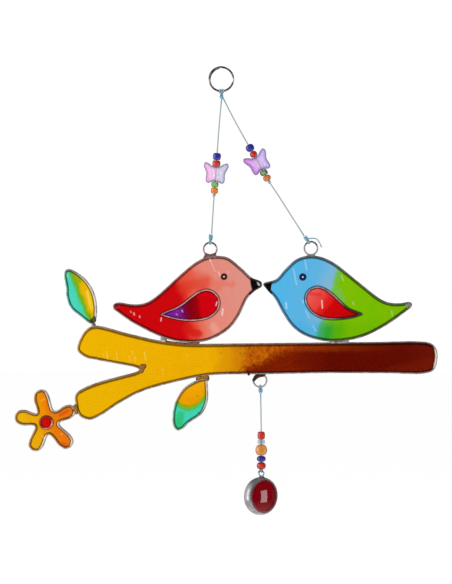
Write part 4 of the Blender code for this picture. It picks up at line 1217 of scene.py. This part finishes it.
# Darkened places on the eye rings: painted shade at the top of the birds' rings, and dark resin on the
# branch's
SHADE_AND_RESIN_SPOTS = {"red_bird": (-10.0, -99.6, -2.6, -99.6, 2.6), "blue_bird": (48.8, -99.2, 54.4, -99.6, 2.6),
           "branch": (18.4, -176.0, 20.8, -174.6, 2.4)}


def rotated(shape, verts, degrees, axis):
    """Turns points about an axis through the origin."""
    bmesh.ops.rotate(shape, matrix=Matrix.Rotation(math.radians(degrees), 3, axis), verts=verts)


def wire_ring(centre, middle, wire, steps=72, sides=14):
    """A ring of round wire that faces the viewer."""
    shape = bmesh.new()
    ring = bmesh.ops.create_circle(shape, radius=wire / 2, segments=sides)["verts"]
    bmesh.ops.translate(shape, vec=(middle, 0, 0), verts=ring)
    for degrees, axis in ((90, "Z"), (90, "X"), (-90, "Y")):
        rotated(shape, ring, degrees, axis)
    bmesh.ops.spin(shape, geom=shape.verts[:] + shape.edges[:], cent=(0, 0, 0), axis=(0, 1, 0),
                   angle=2 * math.pi, steps=steps, use_merge=True)
    bmesh.ops.translate(shape, vec=(centre[0], 0, centre[1]), verts=shape.verts)
    return shape


def darkened_by_shade_and_resin(*where):
    """A dress that darkens the wire round the line between two points. On the birds' eye rings this is
    painted shade at the top, and on the branch's it is dark resin.
    """
    def dressed(position, colour):
        return blotched(position, colour, (*where, 1.0, 0.85, (56, 50, 52)))
    return dressed


for name, (foot_finish, marks) in FEET.items():
    node_name = name + "_eye_ring"
    finish = metal(name + " eye wire", (240, 234, 236), (206, 192, 196), 0.3, 0.3, 0.5, dull=0.85,
                   dress=darkened_by_shade_and_resin(*SHADE_AND_RESIN_SPOTS[name]))
    ring = wire_ring(EYE_CENTRES[name], EYE_MIDDLE, EYE_WIRE)
    finished(node_name + "_wire", ring, finish, "eye_wire", [node_name])
    soft_lump(node_name + "_foot", marks, -0.95, 0.95, 0.5, foot_finish, nodes=[node_name])

# %% [markdown]
# The ring that goes on the hook is a split ring: springy wire wound twice round, with both ends
# at the place where the wire steps from the front coil to the back one. A path with that step
# is worked out from the angle, and a round section is carried along it.

# %% Split ring
RING_CENTRE = (0.0, -6.3)
RING_RADIUS, RING_WIRE = 7.4, 1.1
COIL_RADIUS = RING_RADIUS - RING_WIRE / 2
STEP_ANGLE, RING_START, ENDS_GAP = math.radians(56), math.radians(38), math.radians(6)
SECOND_TURN_DIP, DIP_ANGLE = 0.42, 136
RING_STEPS = 150


def polar_point(centre, degrees, distance, depth):
    """The point at an angle and a distance from a centre, in space."""
    across, height = polar(centre, degrees, distance)
    return Vector((across, depth, height))


whole = 4 * math.pi - STEP_ANGLE - ENDS_GAP
coil = []
for step in range(RING_STEPS + 1):
    travelled = whole * step / RING_STEPS
    share = min(1.0, max(0.0, (travelled - (2 * math.pi - STEP_ANGLE)) / STEP_ANGLE))
    angle = math.degrees(RING_START - travelled)
    dip = SECOND_TURN_DIP * share * max(0.0, math.cos(math.radians(angle - DIP_ANGLE)))
    depth = RING_WIRE / 2 * (2 * share * share * (3 - 2 * share) - 1)
    coil.append(polar_point(RING_CENTRE, angle, COIL_RADIUS - dip, depth))
wire = swept(bmesh.new(), coil, RING_WIRE / 2 * 0.98, 14)
finished("split_ring", wire, CHROME, "ring_steel", ["hanging_ring"])

# %% [markdown]
# A knot is a few tight turns of the thread round itself, with two loops that hold the wire
# above or below. The turns are a short helix, fuller in the middle, and a strand lies slanting
# across them. The loops are small ovals round the wire.

# %% Knots
STEPS_A_TURN, LOOP_STEPS = 14, 20
LOOP_SLACK = 1.04
END_FULLNESS = 0.72
# A strand across a knot, in shares of its radius and length
STRAND = [(-0.5, 0.1, 0.52), (-0.55, 0.8, 0.28), (0, 1.02, 0), (0.55, 0.8, -0.28), (0.5, 0.1, -0.52)]


def leaning(centre, lean):
    """The place of something that hangs on a thread, with its lean in radians."""
    return Matrix.Translation((centre[0], 0, centre[1])) @ Matrix.Rotation(lean, 4, "Y")


def wound(shape, centre, lean, radius, length, turns):
    """A thread wound round a leaning axis, fuller in the middle."""
    count = round(turns * STEPS_A_TURN)
    points = []
    for step in range(count + 1):
        share = step / count
        angle = 2 * math.pi * turns * share
        bulge = (radius - THREAD / 2) * (END_FULLNESS + (1 - END_FULLNESS) * math.sin(math.pi * share))
        height = (length - THREAD) * (0.5 - share)
        points.append(Vector((bulge * math.cos(angle), bulge * math.sin(angle), height)))
    place = leaning(centre, lean)
    return swept(shape, [place @ point for point in points], THREAD / 2, 8)


def slanted(shape, centre, lean, radius, length):
    """A strand across the front of a knot and one across its back."""
    place = leaning(centre, lean)
    for side in (-1, 1):
        marks = [(x * radius * side, y * radius * side, z * length) for x, y, z in STRAND]
        swept(shape, [place @ point for point in smooth_run(marks, 0.25)], THREAD * 0.45, 8)


def looped(shape, ring, degrees, thread):
    """An oval of thread round a ring's wire, at an angle on the ring."""
    centre, middle, wire, wire_depth = ring
    points = []
    for step in range(LOOP_STEPS):
        around = 2 * math.pi * step / LOOP_STEPS
        outwards = (wire + thread) / 2 * LOOP_SLACK * math.cos(around)
        depth = (wire_depth + thread) / 2 * LOOP_SLACK * math.sin(around)
        points.append(polar_point(centre, degrees, middle + outwards, depth))
    swept(shape, points, thread / 2, 8, closed=True)


SMALL_RADIUS, SMALL_WIRE = 1.76, 0.72
# A ring: its centre, the radius of its wire's middle, and how wide and how deep its wire is
PENDANT_RING = ((22.9, -231.05), SMALL_RADIUS - SMALL_WIRE / 2, SMALL_WIRE, SMALL_WIRE)
HANGER_RING = (RING_CENTRE, COIL_RADIUS, RING_WIRE, 2 * RING_WIRE)
EYE_RINGS = {name: (centre, EYE_MIDDLE, EYE_WIRE, EYE_WIRE) for name, centre in EYE_CENTRES.items()}
# A knot: its centre, lean in degrees, radius, length and turns, the ring that it holds, the thickness
# and the angles of its loops, and its straight strands
KNOT_TABLE = {
    "ring_knot": ((0.15, -16.2), 4.0, 1.2, 1.9, 2.2, HANGER_RING, 1.0, (-98.0, -89.5, -81.0),
                  [[(-0.4, -0.7, -14.0), (-0.2, -0.3, -14.8), (0.0, 0.0, -15.6)],
                   [(0.7, 0.7, -14.0), (0.4, 0.3, -14.8), (0.2, 0.0, -15.6)]]),
    "red_bird_knot": ((-6.0, -96.3), 2.0, 1.35, 2.9, 3.2, EYE_RINGS["red_bird"], 1.0, (97.0, 84.0),
                      [[(-6.6, -0.6, -98.6), (-6.4, -0.3, -97.9), (-6.1, 0.0, -97.2)],
                       [(-5.8, 0.6, -98.6), (-5.9, 0.3, -97.9), (-6.0, 0.0, -97.2)]]),
    "blue_bird_knot": ((48.3, -97.0), -32.0, 1.25, 2.5, 2.2, EYE_RINGS["blue_bird"], 1.0, (116.0, 106.0),
                       [[(49.2, -0.5, -98.2), (48.9, -0.6, -97.6), (48.4, -0.5, -97.2)],
                        [(48.2, -0.6, -97.0), (49.2, -0.7, -96.9), (50.4, 0.0, -97.2)]]),
    "branch_knot": ((22.4, -183.7), 0.0, 1.4, 2.3, 2.4, EYE_RINGS["branch"], 1.0, (-93.0, -82.0), []),
    "pendant_knot": ((22.85, -228.8), 0.0, 1.1, 1.2, 1.4, PENDANT_RING, 0.8, (90.0,),
                     [[(22.9, -0.4, -228.7), (21.9, -0.6, -229.2), (20.9, -0.4, -230.4)],
                      [(22.8, 0.4, -228.7), (23.5, 0.5, -229.3), (23.6, 0.3, -230.6)]])}
for name, (centre, lean, radius, length, turns, ring, share, angles, strands) in KNOT_TABLE.items():
    shape = wound(bmesh.new(), centre, math.radians(lean), radius, length, turns)
    slanted(shape, centre, math.radians(lean), radius * 0.9, length)
    for degrees in angles:
        looped(shape, ring, degrees, THREAD * share)
    for strand in strands:
        swept(shape, smooth_run(strand, 0.3), THREAD * 0.42, 8)
    finished(name + "_turns", shape, KNOT_FINISH, "thread_knot", [name], sharp=80)
print("knots:", len(KNOT_TABLE))

# %% [markdown]
# The small beads are drawn glass: a tube cut short and melted round. Half a section is enough, and a spin
# makes the bead with its hole. They hang a hair apart on the thread, so each place follows from the lengths
# of the beads above. Glass this strong in colour lets some light in, and that glow is painted in: a core
# tone where we look straight into the bead, and painted shade at its edge.

# %% Glass of the beads
def bead_glass(name, core, colour, deep, through, roughness=0.12):
    """Coloured glass with painted light: a core tone where we look straight into it, for most beads a
    painted glow, and painted shade of deep colour at its edge. Through is the share of light that it lets
    through."""
    material, shader, position = new_material(
        name, Roughness=roughness, IOR=1.52, Transmission_Weight=through)
    facing = position.tree.nodes.new("ShaderNodeLayerWeight")
    facing.inputs["Blend"].default_value = 0.4
    # Painted light: the tone follows how straight we look into the glass
    depth = Wire(facing.outputs["Facing"]) + (speckle(position, 0.7, 3.0) - 0.5) * 0.5
    body = blended(fade(depth, -0.05, 0.22), core, colour)
    put(shader["Base Color"], blended(fade(depth, 0.2, 0.7), body, deep))
    return material


BEAD_FINISHES = {
    "blue_bead": bead_glass("blue glass", (48, 48, 178), (34, 30, 140), (20, 12, 76), 0.15),
    "red_bead": bead_glass("red glass", (216, 50, 36), (172, 18, 18), (112, 6, 14), 0.12),
    "green_bead": bead_glass("green glass", (140, 212, 124), (88, 170, 80), (34, 92, 36), 0.3),
    "right_green_bead": bead_glass("dark green glass", (140, 180, 120), (58, 98, 44), (24, 46, 16), 0.2),
    "orange_bead": bead_glass("orange glass", (242, 146, 52), (214, 106, 24), (138, 60, 12), 0.25),
    "clear_bead": bead_glass("pale blue glass", (164, 182, 204), (206, 220, 232), (138, 156, 178), 0.6),
    "amber_bead": bead_glass("amber glass", (216, 154, 52), (230, 146, 70), (168, 110, 62), 0.35)}

# %% Beads on their threads
GAP = 0.3
HOLE_RADIUS = THREAD / 2 + GAP
BEAD_ARCS = 20
LIP, CHAMFER = 0.12, 0.1
BARREL, BALL = (0.3, 0.6), (0.1, 0.97)
BUTTERFLY_LENGTH = 8.2
WHOLE_BUTTERFLY, STOP = (0.0, BUTTERFLY_LENGTH, BARREL), (1.1, 1.4, BARREL)
# Where each row starts, and the radius, length and form of its beads from the top
ROWS = {
    "left_thread": ("left_", HANGER_ROW, -48.3, [(2.3, 3.9, BARREL), (2.3, 3.5, BARREL), WHOLE_BUTTERFLY,
                                                 (2.1, 2.9, BARREL), (2.05, 3.4, BARREL), STOP]),
    "right_thread": ("right_", HANGER_ROW, -43.6, [(2.45, 4.1, BALL), (2.1, 3.5, BALL), WHOLE_BUTTERFLY,
                                                   (2.25, 3.0, BARREL), (2.25, 3.4, BALL), STOP]),
    "pendant_thread": ("", PENDANT_ROW, -207.1, [(2.15, 4.3, BARREL), (2.15, 2.5, BARREL),
                                                 (3.35, 6.1, BALL), (2.6, 3.3, BALL), (2.6, 4.0, BALL)])}


def hung_at(marks, height):
    """The point of a thread at a height, and its turn there from upright."""
    dense = smooth_run(marks)
    place = next(index for index, point in enumerate(dense) if point.y <= height)
    above, below = dense[place - 1], dense[place]
    share = (above.y - height) / (above.y - below.y)
    along = dense[max(place - 8, 0)] - dense[min(place + 8, len(dense) - 1)]
    return above.lerp(below, share), math.atan2(along.x, along.y)


def placed(shape, centre, turn):
    """Turns a shape about the viewing direction and sets it in its place."""
    bmesh.ops.transform(shape, matrix=leaning(centre, turn), verts=shape.verts)
    return shape


def turned(profile, steps=40, closed=True):
    """A half section of (radius, height) spun about the upright axis."""
    shape = bmesh.new()
    corners = [shape.verts.new((radius, 0, height)) for radius, height in profile]
    pairs = list(zip(corners, corners[1:])) + ([(corners[-1], corners[0])] if closed else [])
    edges = [shape.edges.new(pair) for pair in pairs]
    bmesh.ops.spin(shape, geom=corners + edges, cent=(0, 0, 0), axis=(0, 0, 1), angle=2 * math.pi,
                   steps=steps, use_merge=True)
    bmesh.ops.remove_doubles(shape, verts=shape.verts, dist=0.0005)
    return shape


def bead(radius, length, flat, roundness):
    """A drilled bead with melted, rounded ends. Flat is how far its flat end reaches out."""
    end = HOLE_RADIUS + flat * (radius - HOLE_RADIUS)
    lip = LIP * length
    profile = [(HOLE_RADIUS, -length / 2 + lip), (HOLE_RADIUS + CHAMFER, -length / 2 + lip * 0.3)]
    for arc in range(BEAD_ARCS + 1):
        angle = math.pi * (arc / BEAD_ARCS - 0.5)
        bulge = (radius - end) * max(0.0, math.cos(angle)) ** roundness
        profile.append((end + bulge, length / 2 * math.sin(angle)))
    profile += [(HOLE_RADIUS + CHAMFER, length / 2 - lip * 0.3), (HOLE_RADIUS, length / 2 - lip)]
    return turned(profile)


butterfly_places = {}
for thread_name, (prefix, row, height, sizes) in ROWS.items():
    marks = ROUTES[thread_name]
    for kind, (radius, length, form) in zip(row, sizes):
        name, sort = prefix + kind, kind.replace("upper_", "").replace("lower_", "")
        drop = (length / 2 + GAP / 2) * math.cos(hung_at(marks, height)[1])
        centre, turn = hung_at(marks, height - drop)
        height -= 2 * drop
        if kind == "butterfly":
            butterfly_places[name] = (centre, turn)
        elif kind == "stop_knot":
            shape = wound(bmesh.new(), centre, turn, radius, length + 0.6, 1.6)
            finished(name + "_turns", shape, KNOT_FINISH, "stop_knot", [name], sharp=80)
        else:
            shape = placed(bead(radius, length, *form), centre, turn)
            glass = BEAD_FINISHES.get(name, BEAD_FINISHES[sort])
            finished(name + "_glass", shape, glass, sort, [name], sharp=60)
print("pieces with the beads and stop knots:", len(made_pieces))

# %% [markdown]
# The butterflies are moulded plastic, flat cushions with a round body that the thread runs
# through. They are scored sheets once more: the height rises from the edge, a raised line
# follows the edge of each wing, and a few ribs and drops are pressed into it. The plastic is
# see-through and has two tones, which part along the body.

# %% Butterflies
BUTTERFLY_HALF = [(0.0, 4.2), (2.1, 4.6), (4.3, 6.0), (6.3, 6.5), (7.1, 4.8), (5.4, 0.4), (5.5, -2.4),
                  (5.1, -4.6), (3.8, -5.2), (1.6, -4.3), (0.0, -4.1)]
BUTTERFLY_EDGE, BUTTERFLY_RISE = 0.35, 0.85
RAISED_LINE, RIBS, DROP_RISE, RINGS = 0.12, 0.03, 0.3, 0.05
BUTTERFLY_BODY_RADIUS = 1.9
BUTTERFLY_CELL = 0.25
WING_DROPS = [(4.9, 4.3, 0.9), (3.2, 1.9, 0.7), (4.2, -2.9, 0.8)]
butterfly_edge = round_outline(BUTTERFLY_HALF + [(-x, z) for x, z in BUTTERFLY_HALF[-2:0:-1]])


def butterfly():
    """A butterfly of cushioned plastic, upright and in the middle."""
    def depth_at(places, rim, side):
        across, height = np.abs(places[:, 0]), places[:, 1]
        half = BUTTERFLY_EDGE + BUTTERFLY_RISE * cushion(rim, 1.5)
        half += RAISED_LINE * np.exp(-((rim - 0.8) / 0.3) ** 2)
        half += RIBS * np.cos(np.arctan2(height, across) * 14) * np.clip((rim - 0.9) / 0.8, 0, 1)
        for x, z, radius in WING_DROPS:
            half += DROP_RISE * np.exp(-(np.hypot(across - x, height - z) / (radius * 0.7)) ** 2)
        along = np.clip(1 - (height / (BUTTERFLY_LENGTH / 2)) ** 2, 0, 1)
        body = np.sqrt(np.clip(1 - (across / BUTTERFLY_BODY_RADIUS) ** 2 / np.maximum(along, 0.01), 0, 1))
        body *= BUTTERFLY_BODY_RADIUS * np.sqrt(along) * (1 + RINGS * np.cos(height * 4.5))
        return side * np.maximum(half, body)
    return shaped(flat_sheet([butterfly_edge], BUTTERFLY_CELL), [butterfly_edge], depth_at)


def wing_plastic(name, centre, turn, left, right, cloud_tone):
    """See-through plastic in two tones, parted along the body, with a painted glow inside each wing and
    painted shade towards its edge.
    """
    material, shader, position = new_material(name, Roughness=0.25, IOR=1.3, Transmission_Weight=0.5)
    along = flow(position, centre, -math.degrees(turn), 2.5, 0.3)
    colour = ramp(along, (-5.0, *left), (-0.8, *left), (1.0, *right), (5.0, *right))
    clouds = fade(speckle(position, 0.4, 3.0), 0.4, 0.65)
    colour = blended(clouds * 0.3, colour, cloud_tone)
    rim = attribute(position, "rim")
    # Painted glow inside each wing, and painted shade towards its edge
    colour = blended(fade(rim, 1.0, 2.4, 0.0, 0.5), colour, (252, 232, 252))
    put(shader["Base Color"], blended(fade(rim, 1.25, 0.35) * 0.8, colour, (136, 118, 156)))
    return material


BUTTERFLY_TONES = {"left_butterfly": ((252, 196, 242), (206, 218, 236), (238, 172, 240)),
                   "right_butterfly": ((216, 142, 234), (200, 188, 248), (186, 134, 230))}
for name, tones in BUTTERFLY_TONES.items():
    plastic = wing_plastic(name + " plastic", *butterfly_places[name], *tones)
    shape = placed(butterfly(), *butterfly_places[name])
    finished(name + "_plastic", shape, plastic, "butterfly", [name], sharp=70)

# %% [markdown]
# The pendant is a thick round glass with a low dome on both sides, held in a bulging band. Both
# are half sections spun about the axis of the glass, which is then turned, because the pendant
# hangs turned on its thread. It faces forwards and a little to the right.

# %% Pendant
PENDANT_CENTRE = (22.55, -243.9)
PENDANT_TURN = 38
BAND_HALF = 3.3
BAND_INNER_RADIUS = 9.2
BAND_RIM = 0.1
BAND_BULGE = 1.45
GLASS_RADIUS = 8.9
GLASS_LIP = 0.25
GLASS_HALF = 3.6
GLASS_RISE = 1.1
BAND_ARCS, DOME_STEPS, SPIN_STEPS = 24, 12, 96


def hung_pendant(profile, closed=True):
    """Spins a half section and turns it to face where the pendant faces."""
    shape = turned(profile, SPIN_STEPS, closed)
    place = Matrix.Translation((PENDANT_CENTRE[0], 0, PENDANT_CENTRE[1]))
    facing = Matrix.Rotation(math.radians(PENDANT_TURN), 4, "Z") @ Matrix.Rotation(math.radians(90), 4, "X")
    bmesh.ops.transform(shape, matrix=place @ facing, verts=shape.verts)
    return shape


profile = [(BAND_INNER_RADIUS, 0.25 - BAND_HALF), (BAND_INNER_RADIUS + 0.08, 0.06 - BAND_HALF)]
for step in range(BAND_ARCS + 1):
    angle = math.pi * (step / BAND_ARCS - 0.5)
    radius = BAND_INNER_RADIUS + BAND_RIM + BAND_BULGE * math.cos(angle)
    profile.append((radius, BAND_HALF * math.sin(angle)))
profile += [(BAND_INNER_RADIUS + 0.08, BAND_HALF - 0.06), (BAND_INNER_RADIUS, BAND_HALF - 0.25)]
finished("pendant_band_metal", hung_pendant(profile), BRIGHT, "pendant_metal", ["pendant_band"], sharp=50)

dome = []
for step in range(DOME_STEPS + 1):
    share = step / DOME_STEPS
    dome.append((GLASS_RADIUS * share, GLASS_HALF + GLASS_RISE * (1 - share ** 2) ** 1.2))
half = dome + [(GLASS_RADIUS + GLASS_LIP, GLASS_HALF - 0.3)]
profile = half + [(radius, -depth) for radius, depth in half[::-1]]
CRIMSON = bead_glass("crimson glass", (132, 0, 12), (130, 0, 12), (118, 2, 14), 0.75, 0.03)
shape = hung_pendant(profile, closed=False)
finished("pendant_glass_dome", shape, CRIMSON, "pendant_glass", ["pendant_glass"], sharp=50)

soft_lump("pendant_foot", [(20.8, -234.3), (21.9, -232.6), (22.9, -233.0), (23.9, -232.5), (25.1, -234.2),
                           (22.9, -234.8)], -0.7, 0.7, 0.4, DARK_SOLDER, "pendant_metal")
PALE_WIRE = metal("pale ring wire", (236, 236, 234), (196, 194, 192), 0.5, 0.3, 0.45, 0.03, 0.7)
ring = wire_ring(*PENDANT_RING[:3], 40, 10)
finished("pendant_ring_wire", ring, PALE_WIRE, "pendant_metal", ["pendant_ring"])

# %% [markdown]
# A bird's eye is a black seed bead set in the resin, with light coming through its hole.

# %% Eyes of the birds
def eye_glass(name, plain, patched):
    """Nearly black glass with a cast of its own."""
    material, shader, position = new_material(name, Roughness=0.3, Specular_IOR_Level=0.2)
    put(shader["Base Color"], blended(speckle(position, 1.5), plain, patched))
    return material


SEED_BEADS = {"red_bird": (1.95, eye_glass("brown-black glass", (52, 12, 8), (74, 26, 14))),
              "blue_bird": (2.15, eye_glass("blue-black glass", (6, 20, 56), (14, 34, 76)))}
EYE_BORE, EYE_HALF, EYE_DEPTH = 0.38, 0.62, -1.05
for name, (radius, glass) in SEED_BEADS.items():
    middle, thick = (radius + EYE_BORE) / 2, (radius - EYE_BORE) / 2
    angles = [2 * math.pi * step / 24 for step in range(24)]
    shape = turned([(middle + thick * math.cos(angle), EYE_HALF * math.sin(angle)) for angle in angles], 32)
    rotated(shape, shape.verts, 90, "X")
    bmesh.ops.translate(shape, vec=(EYES[name][0], EYE_DEPTH, EYES[name][1]), verts=shape.verts)
    finished(name + "_eye", shape, glass, name + "_resin")

# %% [markdown]
# For each thread, the pieces that are knotted and strung on it are found and counted.

for name, (piece, marks, length) in threads.items():
    path = [tuple(point * MM) for point in even_route(marks, PATH_STEP)[0]]
    starts = tuple(node_name + "_" for node_name in ON_THREAD[name])
    riders = [made for made in made_pieces if made.startswith(starts)]
    length * MM
    print(name, "carries", len(riders), "pieces")

# %% [markdown]
# Light. A suncatcher is seen against the light, so everything behind it is bright. What its
# front mirrors is another matter: a room that is dark towards the viewer, with a bright window
# on either side and a pale floor. The world gives both. Rays that come straight from the camera
# or through the resin meet white, and mirrored rays meet the soft room.

# %% World
world = bpy.data.worlds.new("studio")
bpy.context.scene.world = world
world.use_nodes = True
sky = world.node_tree.nodes
split = sky.new("ShaderNodeSeparateXYZ")
put(split.inputs[0], Wire(sky.new("ShaderNodeTexCoord").outputs["Generated"]))
x, y, z = (Wire(output) for output in split.outputs)
left_wall = fade(x, -0.3, -0.85, 0.0, 1.1)
right_wall = fade(x, 0.5, 0.85) * fade(y, 0.0, 0.5, 0.0, 0.8)
ground = fade(z, -0.15, -0.75, 0.0, 1.3)
ceiling = fade(z, 0.25, 0.9, 0.0, 0.12)
glow = maths("MAXIMUM", maths("MAXIMUM", left_wall, right_wall), maths("MAXIMUM", ground, ceiling)) + 0.03
room, white, mixer = sky["Background"], sky.new("ShaderNodeBackground"), sky.new("ShaderNodeMixShader")
put(room.inputs["Color"], glow)
put(white.inputs["Color"], (255, 255, 255))
put(white.inputs["Strength"], 1.02)
rays = sky.new("ShaderNodeLightPath").outputs
mirrored = Wire(rays["Is Glossy Ray"]) * maths("SUBTRACT", 1.0, Wire(rays["Is Transmission Ray"]))
for socket, source in zip(mixer.inputs, (mirrored, Wire(white.outputs[0]), Wire(room.outputs[0]))):
    put(socket, source)
put(sky["World Output"].inputs["Surface"], Wire(mixer.outputs[0]))
bpy.context.scene.view_settings.view_transform = "Standard"
print("world nodes:", len(sky))

# %% Lamps and floor
def lamp(name, offset, width, height, power, roll=0.0):
    """A soft rectangular light that faces the pendant from an offset in metres, rolled by some degrees."""
    light = bpy.data.lights.new(name, "AREA")
    light.shape = "RECTANGLE"
    light.size, light.size_y, light.energy = width, height, power
    holder = bpy.data.objects.new(name, light)
    target = Vector((PENDANT_CENTRE[0], 0, PENDANT_CENTRE[1])) * MM
    holder.location = target + Vector(offset)
    aim = (target - holder.location).to_track_quat("-Z", "Y").to_matrix()
    holder.rotation_euler = (aim @ Matrix.Rotation(math.radians(roll), 3, "Z")).to_euler()
    bpy.context.scene.collection.objects.link(holder)


lamp("right_window", (0.944, -0.3, -0.094), 0.28, 0.36, 1.35, 3)
lamp("left_window", (-0.99, -0.16, 0.12), 0.4, 0.9, 4.5)

FLOOR_LEVEL = -0.42
FLOOR_SIZE = 6.0
floor_shape = bmesh.new()
bmesh.ops.create_grid(floor_shape, x_segments=1, y_segments=1, size=FLOOR_SIZE)
bmesh.ops.translate(floor_shape, vec=(0, 0, FLOOR_LEVEL), verts=floor_shape.verts)
floor_mesh = bpy.data.meshes.new("floor")
floor_shape.to_mesh(floor_mesh)
floor_shape.free()
pale = bpy.data.materials.new("pale floor")
pale.use_nodes = True
shader = pale.node_tree.nodes["Principled BSDF"].inputs
put(shader["Base Color"], (0.97, 0.97, 0.97, 1.0))
put(shader["Roughness"], 0.9)
put(shader["Specular IOR Level"], 0.0)
floor_mesh.materials.append(pale)
floor = bpy.data.objects.new("floor", floor_mesh)
floor.visible_glossy = False
bpy.context.scene.collection.objects.link(floor)
print("floor at", FLOOR_LEVEL, "m")

# %% Count the pieces
print("pieces:", len(made_pieces))
